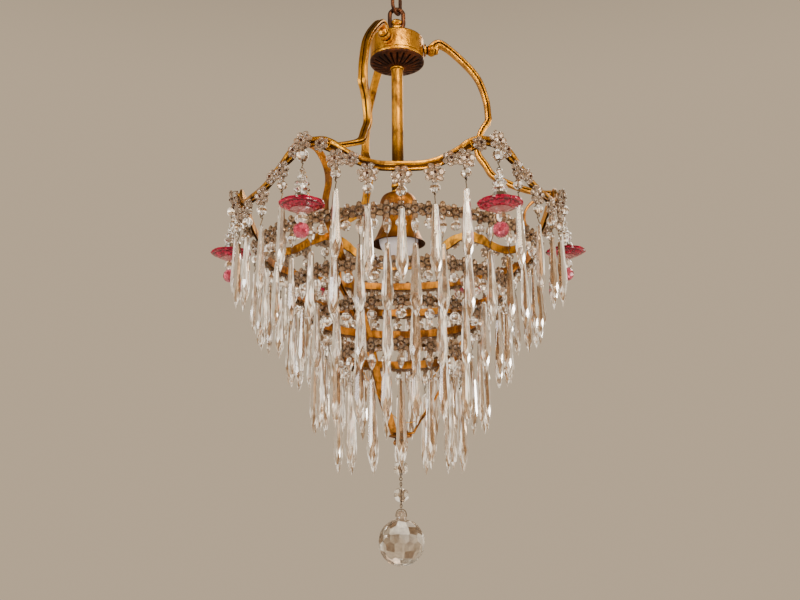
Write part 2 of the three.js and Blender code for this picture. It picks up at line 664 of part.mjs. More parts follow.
// A pendant: wire, ringed clear spire, pink saucer, clear bead and pink ball, on one pin
function makePendants() {
  const spire = -PENDANT_WIRE;
  const saucer = spire - SPIRE_LENGTH;
  const bead = saucer - SAUCER_DEPTH - PENDANT_BEAD_RADIUS;
  const ball = bead - PENDANT_BEAD_RADIUS - PENDANT_BALL_RADIUS * 0.7;
  const profile = [
    [0, 0], [HOOK_RADIUS, spire], [SPIRE_RADIUS * 0.6, spire - SPIRE_LENGTH * 0.12],
    [SPIRE_RADIUS * 0.45, spire - SPIRE_LENGTH * 0.32], [SPIRE_RADIUS, spire - SPIRE_LENGTH * 0.6],
    [SPIRE_RADIUS * 0.7, saucer],
    [SAUCER_RADIUS, saucer - SAUCER_DEPTH * 0.3], [SAUCER_RADIUS * 0.7, saucer - SAUCER_DEPTH * 0.7],
    [PENDANT_BEAD_RADIUS * 0.6, bead + PENDANT_BEAD_RADIUS], [PENDANT_BEAD_RADIUS, bead],
    [PENDANT_BEAD_RADIUS * 0.5, bead - PENDANT_BEAD_RADIUS * 0.8],
    [PENDANT_BALL_RADIUS, ball], [0, ball - PENDANT_BALL_RADIUS],
  ];
  const pendant = turned(profile.reverse(), 8);
  for (let i = 0; i < HOOP_PEAKS; i += 1) {
    const azimuth = (360 * i) / HOOP_PEAKS;
    const mesh = place(`pendant_${i + 1}`, pendant, pinkGlass, turnedTo(azimuth));
    mesh.position.set(HOOP_RADIUS + PENDANT_OFFSET, 0, pendantHook(azimuth));
  }
}

// A hoop has one flat for each strand, or two where that would be too few
function bandSides(tier) {
  return tier.strands < 20 ? 2 * tier.strands : tier.strands;
}

// A flat hoop with its flowers, and a drop and a spear prism wired below each flower
function makeTiers() {
  for (const tier of TIERS) {
    const inner = tier.radius - BAND_THICKNESS / 2;
    const outer = tier.radius + BAND_THICKNESS / 2;
    const [low, high] = [tier.z - BAND_HEIGHT / 2, tier.z + BAND_HEIGHT / 2];
    const drop = -TIER_ROSETTE - DROP_LENGTH;
    const prism = drop - DROP_HOOK;
    const flower = flowerWithDrop(TIER_ROSETTE, 3, 1, [-ROSETTE_DEPTH / 2, 0, 0], [
      [DROP_RADIUS, DROP_RADIUS, drop + DROP_LENGTH * 0.35],
      [PRISM_TOP / 4, PRISM_TOP / 4, prism + DROP_HOOK * 0.7],
      [PRISM_DEPTH / 2, PRISM_WIDTH / 2, prism - tier.prism * PRISM_WIDEST],
    ], prism - tier.prism);
    const sides = bandSides(tier);
    const band = turnedShell([[inner, low], [outer, low], [outer, high], [inner, high]], sides);
    const pieces = [band.rotateZ(Math.PI / 2)];
    const face = outer * Math.cos(Math.PI / sides);
    for (let i = 0; i < tier.strands; i += 1) {
      const azimuth = (360 * (i + 0.5)) / tier.strands;
      pieces.push(turnedAbout(flower, face + ROSETTE_DEPTH * 0.42, tier.z - 1, azimuth));
    }
    place(tier.name, joined(pieces), clearGlass);
  }
}

// A rib runs from inside a hoop peak down the inside of every lower hoop to the hub
function makeRibs() {
  const seatIn = (tier) => {
    const inner = (tier.radius - BAND_THICKNESS / 2) * Math.cos(Math.PI / bandSides(tier));
    return [inner - GAP - RIB_THICKNESS * 0.7, tier.z + BAND_HEIGHT / 2];
  };
  const start = HOOP_INNER - GAP - 0.1;
  const startZ = HOOP_Z - HOOP_HEIGHT / 4;
  const floor = HUB_Z + GAP + RIB_THICKNESS / 2;
  const [second, third, fourth, fifth] = TIERS;
  const curve = smooth([
    [start, startZ], [start - RIB_ROOT * 0.42, startZ - RIB_ROOT * 0.03],
    [start - RIB_ROOT * 0.85, startZ - RIB_ROOT * 0.36], [start - RIB_ROOT, startZ - RIB_ROOT * 0.85],
    seatIn(second), seatIn(third), seatIn(fourth), seatIn(fifth),
    [fifth.radius * 0.62, fifth.z - HUB_DROP * 0.5], [fifth.radius * 0.3, floor + HUB_DROP * 0.12],
    [HUB_RADIUS + 2, floor + 1],
  ], 20);
  const path = [...curve, [HUB_RADIUS - 2, floor], [HUB_STUD_RADIUS + GAP + RIB_WIDTH * 0.4, floor]];
  const half = RIB_WIDTH / 2;
  const deep = RIB_THICKNESS / 2;
  const rib = strip(path, [[-half, -deep], [half, -deep], [half, deep], [-half, deep]]);
  for (let i = 0; i < ARM_COUNT; i += 1) {
    place(`rib_${i + 1}`, rib, gilt, turnedTo((360 * i) / ARM_COUNT));
  }
}

// A plate under the ribs' ends, a stud between them, a head riveted over them, and a turned end
function makeFinial() {
  const headLow = HUB_Z + 2 * GAP + RIB_THICKNESS;
  const low = HUB_Z - HUB_PLATE;
  const profile = [
    [0, headLow + HUB_PLATE], [HUB_HEAD_RADIUS * 0.6, headLow + HUB_PLATE * 0.8],
    [HUB_HEAD_RADIUS, headLow + HUB_PLATE / 3], [HUB_HEAD_RADIUS, headLow],
    [HUB_STUD_RADIUS, headLow], [HUB_STUD_RADIUS, HUB_Z], [HUB_RADIUS, HUB_Z], [HUB_RADIUS, low],
    [HUB_RADIUS * 0.45, low - FINIAL_LENGTH * 0.1], [HUB_RADIUS * 0.6, low - FINIAL_LENGTH * 0.35],
    [HUB_RADIUS * 0.25, low - FINIAL_LENGTH * 0.6], [HUB_RADIUS * 0.4, low - FINIAL_LENGTH * 0.78],
    [0, FINIAL_TIP],
  ];
  place('bottom_finial', turned(profile.reverse(), 12), gilt);
}

// Two beads and the ball, each on its own wire loops below the finial
function makeDropChain() {
  const span = 2 * (CHAIN_BEAD_RADIUS + CHAIN_WIRE);
  const bead = turned([
    [0, -span], [HOOK_RADIUS, -span + HOOK_RADIUS], [HOOK_RADIUS, -span + CHAIN_WIRE],
    [CHAIN_BEAD_RADIUS * 0.75, -span / 2 - CHAIN_BEAD_RADIUS * 0.7], [CHAIN_BEAD_RADIUS, -span / 2],
    [CHAIN_BEAD_RADIUS * 0.75, -span / 2 + CHAIN_BEAD_RADIUS * 0.7],
    [HOOK_RADIUS, -CHAIN_WIRE], [HOOK_RADIUS, -HOOK_RADIUS], [0, 0],
  ], 8);
  const upper = FINIAL_TIP - GAP;
  const lower = upper - span - GAP;
  const ballTop = lower - span - GAP;
  place('upper_bead', bead, clearGlass).position.z = upper;
  place('lower_bead', bead, clearGlass).position.z = lower;
  const neck = -BALL_WIRE;
  const start = Math.asin(BALL_NECK_RADIUS / BALL_RADIUS);
  const centre = neck - BALL_NECK_LENGTH - BALL_RADIUS * Math.cos(start);
  const profile = [
    [0, 0], [HOOK_RADIUS, -HOOK_RADIUS], [HOOK_RADIUS, neck],
    [BALL_NECK_RADIUS, neck - BALL_NECK_LENGTH * 0.2],
  ];
  for (let i = 0; i <= 8; i += 1) {
    const angle = start + ((Math.PI - start) * i) / 8;
    profile.push([BALL_RADIUS * Math.sin(angle), centre + BALL_RADIUS * Math.cos(angle)]);
  }
  profile[profile.length - 1][0] = 0;
  place('crystal_ball', turned(profile.reverse(), 12), clearGlass).position.z = ballTop;
}

makeLink();
makeRing();
makeNipple();
makeDrum();
makeDish();
makeRod();
makeCup();
makeHolder();
makeBulb();
makeArms();
makeHoop();
makeTiers();
makeRibs();
makeFinial();
makeCrownPrisms();
makePendants();
makeDropChain();

export default chandelier;
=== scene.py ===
"""A gilt basket chandelier hung with cut glass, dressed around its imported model.

Every length is in metres. The origin is the inside top of the chain link, +Z is up along the centre rod,
and the portrait looks along +Y from below. Each sub-assembly is a class that keeps its own sizes, makes
its surfaces with numpy and hands them to a body of the model.
"""

import logging
import math
from dataclasses import dataclass
from enum import Enum
from functools import cache
from typing import Callable, Optional, Union

import bmesh
import bpy
import numpy as np
from mathutils import Matrix, Vector


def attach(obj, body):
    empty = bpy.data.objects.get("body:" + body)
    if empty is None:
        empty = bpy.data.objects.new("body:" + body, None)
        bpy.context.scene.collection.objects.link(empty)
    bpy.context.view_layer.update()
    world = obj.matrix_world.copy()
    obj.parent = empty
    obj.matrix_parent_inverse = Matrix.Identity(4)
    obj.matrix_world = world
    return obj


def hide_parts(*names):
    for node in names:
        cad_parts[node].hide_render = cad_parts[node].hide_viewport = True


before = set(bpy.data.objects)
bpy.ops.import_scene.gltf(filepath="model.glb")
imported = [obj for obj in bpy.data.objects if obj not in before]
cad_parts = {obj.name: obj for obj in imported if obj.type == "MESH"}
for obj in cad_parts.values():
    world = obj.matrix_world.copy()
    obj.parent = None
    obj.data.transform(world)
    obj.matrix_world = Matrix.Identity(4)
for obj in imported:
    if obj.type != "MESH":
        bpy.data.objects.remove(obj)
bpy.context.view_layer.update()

log = logging.getLogger("chandelier")
TAU = 2 * math.pi
X_AXIS, Y_AXIS, Z_AXIS = np.eye(3)
POLE = 1e-6  # radius at which a turned surface closes on its axis
SHARP_BEND = 0.7  # radians of inward bend that count as a full hollow


# Surfaces


@dataclass
class Surface:
    """Points and faces of one or more closed skins, kept as arrays.

    Attributes:
        points: one row of x, y and z for each vertex.
        faces: arrays of vertex numbers, one array for each number of corners.
        hollow: how dark each vertex is painted, from 0 to 1: deep in grooves, where dirt and old patina stay, and
            as painted shade inside the lamp cup and under the crown hoop.
    """

    points: np.ndarray
    faces: list[np.ndarray]
    hollow: np.ndarray

    def moved(self, matrix: np.ndarray) -> "Surface":
        """This surface, carried by a 4 by 4 matrix."""
        points = self.points @ matrix[:3, :3].T + matrix[:3, 3]
        return Surface(points, self.faces, self.hollow)

    def repeated(self, matrices: np.ndarray) -> "Surface":
        """Copies this surface once for each matrix.

        Args:
            matrices: an array of 4 by 4 matrices.

        Returns:
            One surface that holds all the copies.
        """
        turned = np.einsum("kij,nj->kni", matrices[:, :3, :3], self.points) + matrices[:, None, :3, 3]
        shifts = np.arange(len(matrices))[:, None, None] * len(self.points)
        faces = [(f[None] + shifts).reshape(-1, f.shape[1]) for f in self.faces]
        return Surface(turned.reshape(-1, 3), faces, np.tile(self.hollow, len(matrices)))


def together(surfaces: list[Surface]) -> Surface:
    """Gathers several surfaces into one.

    Args:
        surfaces: the surfaces to gather, in order.

    Returns:
        One surface that holds them all.
    """
    starts = np.cumsum([0] + [len(s.points) for s in surfaces])
    faces = [f + start for s, start in zip(surfaces, starts) for f in s.faces]
    points, hollow = (np.concatenate([getattr(s, key) for s in surfaces]) for key in ("points", "hollow"))
    return Surface(points, faces, hollow)


def even_angles(count: int) -> np.ndarray:
    """Even angles round a circle, from 0."""
    return np.arange(count) * TAU / count


def around(radius: np.ndarray, angle: np.ndarray, height: np.ndarray) -> np.ndarray:
    """Points about the Z axis: x = r cos a, y = r sin a."""
    return np.stack(np.broadcast_arrays(radius * np.cos(angle), radius * np.sin(angle), height), axis=-1)


def upright(rows: np.ndarray, y: float = 0.0) -> np.ndarray:
    """Stands rows of x and z in a plane of one y."""
    return np.insert(np.asarray(rows, float), 1, y, axis=1)


def ring_of(count: int, radius: float = 1.0, start: float = 0.0) -> np.ndarray:
    """The corners of a regular polygon, counter-clockwise."""
    angle = start + even_angles(count)
    return radius * np.stack([np.cos(angle), np.sin(angle)], axis=-1)


def grid(points: np.ndarray, closed: bool, hollow: Union[float, np.ndarray] = 0.0,
         split: bool = False) -> Surface:
    """Skins a run of rings of points, and caps the ends of a run that doesn't close on itself.

    Args:
        points: an array of rings, each of the same number of points, and each closed on itself.
        closed: whether the last ring joins the first.
        hollow: how hollow each point is.
        split: whether each quad becomes two triangles, as between rings turned by half a step.

    Returns:
        The skinned surface.
    """
    rings, sides = points.shape[:2]
    numbers = np.arange(rings * sides).reshape(rings, sides)
    here = numbers if closed else numbers[:-1]
    there = np.roll(numbers, -1, axis=0) if closed else numbers[1:]
    here_next = np.roll(here, -1, axis=1)
    there_next = np.roll(there, -1, axis=1)
    if split:
        faces = [np.concatenate([np.stack([here, here_next, there], axis=-1).reshape(-1, 3),
                                 np.stack([there, here_next, there_next], axis=-1).reshape(-1, 3)])]
    else:
        faces = [np.stack([here, here_next, there_next, there], axis=-1).reshape(-1, 4)]
    if not closed:
        faces.append(numbers[0][::-1][None])
        faces.append(numbers[-1][None])
    return Surface(points.reshape(-1, 3), faces, np.broadcast_to(hollow, (rings, sides)).ravel())


def hollows(outline: np.ndarray) -> np.ndarray:
    """Finds where an outline bends inwards: 0 on a bulge or a flat, up to 1 in a sharp groove.

    The bend at each point is the angle between the stretches before and after it, counted as positive
    where it turns the way that the whole outline turns.

    Args:
        outline: rows of two coordinates. The last row is taken to join the first.

    Returns:
        One number for each row.
    """
    ahead = np.roll(outline, -1, axis=0)
    behind = np.roll(outline, 1, axis=0)
    area = np.sum(outline[:, 0] * ahead[:, 1] - ahead[:, 0] * outline[:, 1])
    before, after = outline - behind, ahead - outline
    cross = before[:, 0] * after[:, 1] - before[:, 1] * after[:, 0]
    bend = np.arctan2(cross, np.sum(before * after, axis=1)) * np.sign(area)
    return np.clip(-bend / SHARP_BEND, 0, 1)


def lathe(profile: np.ndarray, sides: int, swell: Optional[Callable] = None,
          hollow: Optional[np.ndarray] = None) -> Surface:
    """Turns a profile about the Z axis: x = r cos a, y = r sin a.

    Args:
        profile: rows of radius and height. A profile that closes on itself ends where it starts.
        sides: steps round the axis.
        swell: an optional function of angle and height that multiplies the radius.
        hollow: how hollow each row is, where it isn't told by the profile's own bends.

    Returns:
        The turned surface, closed at its poles or on itself.
    """
    profile = np.asarray(profile, float)
    closed = np.allclose(profile[0], profile[-1])
    if closed:
        profile = profile[:-1]
    if hollow is None:
        hollow = hollows(profile)
    angle = even_angles(sides)
    radius, height = np.maximum(profile[:, :1], POLE), profile[:, 1:]
    if swell is not None:
        radius = radius * swell(angle, height)
    return grid(around(radius, angle, height), closed, hollow[:len(profile), None])


def sweep(path: np.ndarray, side: np.ndarray, section: np.ndarray, closed: bool = False,
          scale: Union[float, np.ndarray] = 1.0, hollow: Optional[np.ndarray] = None) -> Surface:
    """Carries a section along a flat path: point = path + scale (sx side + sy (side x tangent)).

    Args:
        path: rows of x, y and z in one plane.
        side: the unit normal of that plane.
        section: rows of the section's two coordinates, counter-clockwise.
        closed: whether the path is a loop.
        scale: one factor, or one pair of factors for each point of the path.
        hollow: how hollow each row of the section is, where it isn't told by its own bends.

    Returns:
        The swept surface.
    """
    if closed:
        tangent = np.roll(path, -1, axis=0) - np.roll(path, 1, axis=0)
    else:
        tangent = np.gradient(path, axis=0)
    tangent /= np.linalg.norm(tangent, axis=1, keepdims=True)
    up = np.cross(side, tangent)
    factor = np.broadcast_to(scale, (len(path), 2))
    across = (factor[:, :1] * section[None, :, 0])[..., None] * side
    out = (factor[:, 1:] * section[None, :, 1])[..., None] * up[:, None, :]
    return grid(path[:, None, :] + across + out, closed, hollows(section) if hollow is None else hollow)


def curve_through(knots: np.ndarray, steps: int) -> np.ndarray:
    """Samples a centripetal Catmull-Rom curve at even lengths.

    Args:
        knots: rows of coordinates that the curve passes through.
        steps: how many points to return.

    Returns:
        The sampled rows.
    """
    knots = np.asarray(knots, float)
    padded = np.vstack([2 * knots[0] - knots[1], knots, 2 * knots[-1] - knots[-2]])
    u = np.linspace(0, 1, 24, endpoint=False)[:, None]
    p0, p1, p2, p3 = (padded[i:len(padded) - 3 + i][:, None, :] for i in range(4))
    dense = 0.5 * (2 * p1 + (p2 - p0) * u + (2 * p0 - 5 * p1 + 4 * p2 - p3) * u ** 2
                   + (3 * p1 - p0 - 3 * p2 + p3) * u ** 3)
    dense = np.vstack([dense.reshape(-1, knots.shape[1]), knots[-1]])
    length = np.concatenate([[0], np.cumsum(np.linalg.norm(np.diff(dense, axis=0), axis=1))])
    even = np.linspace(0, length[-1], steps)
    return np.stack([np.interp(even, length, dense[:, k]) for k in range(knots.shape[1])], axis=-1)


def about_axis(radius: Union[float, np.ndarray], azimuths: np.ndarray, heights: Union[float, np.ndarray],
               tilt: Union[float, np.ndarray] = 0.0, spin: Union[float, np.ndarray] = 0.0) -> np.ndarray:
    """Matrices that stand copies round the Z axis, each facing outwards.

    Args:
        radius: distance from the axis.
        azimuths: angles in radians.
        heights: heights of the copies' origins.
        tilt: how far each leans outwards about its tangent, in radians.
        spin: how far each turns about its own vertical, in radians.

    Returns:
        An array of 4 by 4 matrices.
    """
    azimuths = np.asarray(azimuths, float)
    ones = np.ones_like(azimuths)
    radius, heights, tilt, spin = radius * ones, heights * ones, tilt * ones, spin * ones
    made = np.zeros((len(azimuths), 4, 4))
    turn = azimuths + spin
    c, s = np.cos(turn), np.sin(turn)
    ct, st = np.cos(tilt), np.sin(tilt)
    made[:, 0, 0], made[:, 0, 1], made[:, 0, 2] = c * ct, -s, -c * st
    made[:, 1, 0], made[:, 1, 1], made[:, 1, 2] = s * ct, c, -s * st
    made[:, 2, 0], made[:, 2, 2] = st, ct
    made[:, 3, 3] = 1
    made[:, 0, 3], made[:, 1, 3] = radius * np.cos(azimuths), radius * np.sin(azimuths)
    made[:, 2, 3] = heights
    return made


LAID = np.array([[0, 0, 1, 0], [0, 1, 0, 0], [-1, 0, 0, 0], [0, 0, 0, 1.0]])  # turns +Z to +X


def at(x: float, y: float, z: float) -> np.ndarray:
    """A matrix that only moves.

    Args:
        x: how far along X.
        y: how far along Y.
        z: how far along Z.

    Returns:
        A 4 by 4 matrix.
    """
    made = np.eye(4)
    made[:3, 3] = (x, y, z)
    return made


class Shading(Enum):
    """How a piece's facets are shaded."""

    CUT = "flat facets"
    TURNED = "smooth, with edges kept sharp"


def facet_reflection_tones(mesh: bpy.types.Mesh) -> np.ndarray:
    """Gives each flat facet its own painted reflection tone, since each looks at another part of the room.

    The tone is a scrambled number made from the facet's direction: the fractional part of a large
    multiple of sin(a x + b y + c z), so that faces in one plane share it and turned copies don't.

    Args:
        mesh: the mesh, already given its faces.

    Returns:
        A number from 0 to 1 for each face.
    """
    normals = np.empty(len(mesh.polygons) * 3, np.float32)
    mesh.polygons.foreach_get("normal", normals)
    stepped = np.round(normals.reshape(-1, 3).astype(float), 2)
    return (np.sin(stepped @ (12.99, 78.23, 37.72)) * 43758.5 % 1.0).astype(np.float32)


def build(name: str, surface: Surface, finish: "Finish", body: str,
          nodes: tuple[str, ...] = (), shading: Shading = Shading.TURNED) -> bpy.types.Object:
    """Makes a piece of the chandelier and gives it to a body.

    Args:
        name: the piece's name.
        surface: its skin.
        finish: its finish.
        body: the body of the model that it rides on.
        nodes: the nodes that it stands for.
        shading: how its facets are shaded.

    Returns:
        The new object, at the origin and unturned.
    """
    mesh = bpy.data.meshes.new(name)
    loops = np.concatenate([f.ravel() for f in surface.faces]).astype(np.int32)
    sizes = np.concatenate([np.full(len(f), f.shape[1]) for f in surface.faces])
    starts = np.concatenate([[0], np.cumsum(sizes)[:-1]]).astype(np.int32)
    mesh.vertices.add(len(surface.points))
    mesh.vertices.foreach_set("co", surface.points.astype(np.float32).ravel())
    mesh.loops.add(len(loops))
    mesh.loops.foreach_set("vertex_index", loops)
    mesh.polygons.add(len(starts))
    mesh.polygons.foreach_set("loop_start", starts)
    mesh.update(calc_edges=True)
    mesh.validate()
    if shading is Shading.TURNED:
        mesh.shade_smooth()
        mesh.set_sharp_from_angle(angle=math.radians(34))
    else:
        mesh.shade_flat()
    mesh.attributes.new("hollow", "FLOAT", "POINT").data.foreach_set("value", surface.hollow.astype(np.float32))
    # Painted reflections: each cut facet gets its own tone, and turned pieces get an even middle tone.
    reflection_tones = facet_reflection_tones(mesh) if shading is Shading.CUT else np.full(len(starts), 0.5, np.float32)
    mesh.attributes.new("facet_reflection", "FLOAT", "FACE").data.foreach_set("value", reflection_tones)
    mesh.materials.append(finish.material())
    piece = bpy.data.objects.new(name, mesh)
    bpy.context.scene.collection.objects.link(piece)
    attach(piece, body)
    if nodes:
        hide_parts(*nodes)
    log.info("%s: %d faces on %s", name, len(starts), body)
    return piece


# Shader arithmetic


class Signal:
    """A shader socket that takes part in Python sums."""

    def __init__(self, nodes: "Nodes", socket: bpy.types.NodeSocket) -> None:
        """Keeps the socket and the tree that it belongs to."""
        self.nodes = nodes
        self.socket = socket

    def _math(self, operation: str, first: "Number", second: "Number") -> "Signal":
        """Adds a Math node."""
        return self.nodes.node("ShaderNodeMath", {"operation": operation}, {0: first, 1: second})

    def __add__(self, other: "Number") -> "Signal":
        """The sum."""
        return self._math("ADD", self, other)

    def __radd__(self, other: "Number") -> "Signal":
        """The sum, reflected."""
        return self._math("ADD", other, self)

    def __sub__(self, other: "Number") -> "Signal":
        """The difference."""
        return self._math("SUBTRACT", self, other)

    def __rsub__(self, other: "Number") -> "Signal":
        """The difference, reflected."""
        return self._math("SUBTRACT", other, self)

    def __mul__(self, other: "Number") -> "Signal":
        """The product."""
        return self._math("MULTIPLY", self, other)

    def __rmul__(self, other: "Number") -> "Signal":
        """The product, reflected."""
        return self._math("MULTIPLY", other, self)


Number = Union[float, Signal]
Colour = tuple[float, float, float]


class Nodes:
    """A shader's node tree, and the patterns that a finish is mixed from."""

    def __init__(self, tree: bpy.types.NodeTree) -> None:
        """Keeps the tree."""
        self.tree = tree

    def node(self, kind: str, settings: dict, sockets: dict, output: Union[int, str] = 0) -> Signal:
        """Adds a node: its settings first, then its sockets.

        Args:
            kind: the node's type.
            settings: properties by name.
            sockets: values or signals by socket name or number.
            output: which output to return.

        Returns:
            The chosen output.
        """
        made = self.tree.nodes.new(kind)
        for key, value in settings.items():
            setattr(made, key, value)
        for key, value in sockets.items():
            self.feed(made.inputs[key], value)
        return Signal(self, made.outputs[output])

    def feed(self, socket: bpy.types.NodeSocket, value: Union[float, Colour, Signal]) -> None:
        """Links a signal to a socket, or sets the socket to a number, a vector or a colour.

        Args:
            socket: the input to feed.
            value: what it is linked or set to.
        """
        if isinstance(value, Signal):
            self.tree.links.new(value.socket, socket)
        elif socket.type == "RGBA":
            socket.default_value = (*value, 1.0)
        else:
            socket.default_value = value

    def place(self) -> Signal:
        """Object coordinates."""
        return self.node("ShaderNodeTexCoord", {}, {}, "Object")

    def noise(self, size: float, detail: float = 3.0, roughness: float = 0.55, stretch: float = 1.0) -> Signal:
        """A cloudy pattern from 0 to 1.

        Args:
            size: the size of its features in metres.
            detail: how many finer octaves it has.
            roughness: how strong they are.
            stretch: how much longer its features are along Z.

        Returns:
            The pattern.
        """
        where = self.place()
        if stretch != 1.0:
            where = self.node("ShaderNodeMapping", {}, {"Vector": where, "Scale": (1.0, 1.0, 1.0 / stretch)})
        return self.node("ShaderNodeTexNoise", {}, {
            "Vector": where, "Scale": 1.0 / size, "Detail": detail, "Roughness": roughness}, 0)

    def kept(self, name: str) -> Signal:
        """A number kept with the mesh: how hollow the skin is, or the painted reflection tone of a facet."""
        return self.node("ShaderNodeAttribute", {"attribute_name": name}, {}, "Fac")

    def cells(self, size: float) -> Signal:
        """Distance to the middle of the nearest of many small cells, in cells."""
        return self.node("ShaderNodeTexVoronoi", {}, {"Vector": self.place(), "Scale": 1.0 / size}, "Distance")

    def window(self, value: Signal, low: float, high: float) -> Signal:
        """Rises smoothly from 0 at low to 1 at high."""
        return self.node("ShaderNodeMapRange", {"interpolation_type": "SMOOTHSTEP"}, {
            "Value": value, "From Min": low, "From Max": high})

    def mix(self, share: Number, first: Union[Signal, Colour], second: Union[Signal, Colour]) -> Signal:
        """Mixes two colours."""
        return self.node("ShaderNodeMix", {"data_type": "RGBA"}, {0: share, 6: first, 7: second}, 2)


class Paint(Nodes):
    """One material and its shader."""

    def __init__(self, name: str) -> None:
        """Starts a material with its shader and output alone.

        Args:
            name: the material's name.
        """
        self.material = bpy.data.materials.new(name)
        self.material.use_nodes = True
        super().__init__(self.material.node_tree)
        self.tree.nodes.clear()
        self.shader = self.tree.nodes.new("ShaderNodeBsdfPrincipled")
        out = self.tree.nodes.new("ShaderNodeOutputMaterial")
        self.tree.links.new(self.shader.outputs["BSDF"], out.inputs["Surface"])

    def bump(self, height: Signal, depth: float) -> None:
        """Presses a pattern into the surface, to a depth in metres."""
        self.set(Normal=self.node("ShaderNodeBump", {}, {"Height": height, "Distance": depth}, "Normal"))

    def set(self, **sockets: Union[float, Colour, Signal]) -> None:
        """Sets or links the shader's sockets, whose names are written with low lines for spaces."""
        for key, value in sockets.items():
            self.feed(self.shader.inputs[key.replace("_", " ")], value)


# Finishes


@dataclass(frozen=True)
class Gilding:
    """Old gilding on cast bronze: bright where it is rubbed, brown where it has worn, and near black where the
    hollow mark is high, as grime in grooves and painted shade in the cup and under the hoop.
    """

    name: str
    bright: Colour
    middle: Colour
    dark: Colour
    wear: float = 0.5
    roughness: float = 0.3

    @cache
    def material(self) -> bpy.types.Material:
        """Makes the finish's material, once.

        Returns:
            The material.
        """
        paint = Paint(self.name)
        broad = paint.noise(0.035, 4.0, 0.6)
        streak = paint.noise(0.006, 3.0, 0.6, 2.5)
        grain = paint.noise(0.0012, 2.0, 0.7)
        specks = 1.0 - paint.window(paint.cells(0.0042), 0.10, 0.26)
        worn = paint.window(broad * 0.65 + streak * 0.35, 0.62 - 0.3 * self.wear, 0.80 - 0.3 * self.wear)
        gold = paint.mix(paint.window(streak, 0.25, 1.0), self.bright, self.middle)
        patina = paint.mix(worn * 0.85, gold, self.dark)
        spotted = paint.mix(specks * paint.window(broad, 0.45, 0.6) * 0.8, patina, self.dark)
        # Grime and painted shade: near black where the hollow mark is high, in grooves and in the shade painted
        # inside the lamp cup and under the crown hoop.
        grime_and_shade = paint.window(paint.kept("hollow") + grain * 0.3, 0.25, 0.85)
        black = (self.dark[0] * 0.3, self.dark[1] * 0.3, self.dark[2] * 0.3)
        paint.set(
            Base_Color=paint.mix(grime_and_shade * 0.95, spotted, black),
            Metallic=1.0 - worn * 0.25,
            Roughness=self.roughness + worn * 0.22 + grain * 0.12 + grime_and_shade * 0.2,
        )
        paint.bump(grain * 0.5 + streak * 0.4 + broad, 0.0006)
        return paint.material


@dataclass(frozen=True)
class CutGlass:
    """Polished cut glass with painted reflections: its facets are painted bright, clear or dark, and the bright
    ones glow as painted glints, with streaks, dust and seeds.
    """

    name: str
    tint: Colour
    deep_tone_and_reflection: Colour
    grime_and_shade: Colour
    clear: float = 0.85
    roughness: float = 0.0
    wave: float = 0.0
    painted_glint: float = 0.0
    shine: float = 0.7
    streaks: tuple[float, float] = (0.0017, 11.0)

    @cache
    def material(self) -> bpy.types.Material:
        """Makes the finish's material, once.

        Returns:
            The material.
        """
        paint = Paint(self.name)
        drift = paint.noise(0.010, 2.0)
        streak = paint.noise(self.streaks[0], 1.0, 0.5, self.streaks[1])
        smears = paint.window(paint.noise(0.004, 3.0), 0.55, 0.8)
        seeds = 1.0 - paint.window(paint.cells(0.006), 0.03, 0.07)
        facet_reflection = paint.kept("facet_reflection")
        # Painted reflections: the facet's tone, with random drift and streaks, mixes the glass from its tint to the
        # dark reflection colour.
        depth = paint.window(facet_reflection * 0.6 + drift * 0.5 + streak * 0.4, 0.55, 0.95)
        glass = paint.mix(depth, self.tint, self.deep_tone_and_reflection)
        # Painted glints: lighter facets glow in vertical streaks through the emission, as reflected highlights.
        bright = paint.window(1.0 - facet_reflection, 0.42, 0.9) * paint.window(streak, 0.44, 0.62)
        # Where the hollow mark is high the glass takes the grime and painted shade colour.
        paint.set(
            Base_Color=paint.mix(paint.window(paint.kept("hollow"), 0.1, 0.8), glass, self.grime_and_shade),
            Roughness=self.roughness + smears * 0.04 + seeds * 0.2,
            IOR=1.56,
            Transmission_Weight=self.clear,
            Specular_IOR_Level=self.shine,
            Emission_Color=paint.mix(bright, (0.0, 0.0, 0.0), self.tint),
            Emission_Strength=self.painted_glint,
        )
        if self.wave:
            paint.bump(drift, self.wave)
        return paint.material


@dataclass(frozen=True)
class Glaze:
    """White glazed ware or frosted glass, with faint clouding and dust."""

    name: str
    colour: Colour
    shade: Colour
    roughness: float
    glow: float = 0.0

    @cache
    def material(self) -> bpy.types.Material:
        """Makes the finish's material, once.

        Returns:
            The material.
        """
        paint = Paint(self.name)
        cloud = paint.noise(0.012, 4.0)
        dust = paint.noise(0.0015, 2.0)
        paint.set(
            Base_Color=paint.mix(paint.window(cloud, 0.3, 0.75), self.colour, self.shade),
            Roughness=self.roughness + dust * 0.15,
            Coat_Weight=0.3,
            Emission_Strength=self.glow,
            Emission_Color=self.colour,
        )
        paint.bump(dust, 0.0001)
        return paint.material


Finish = Union[Gilding, CutGlass, Glaze]


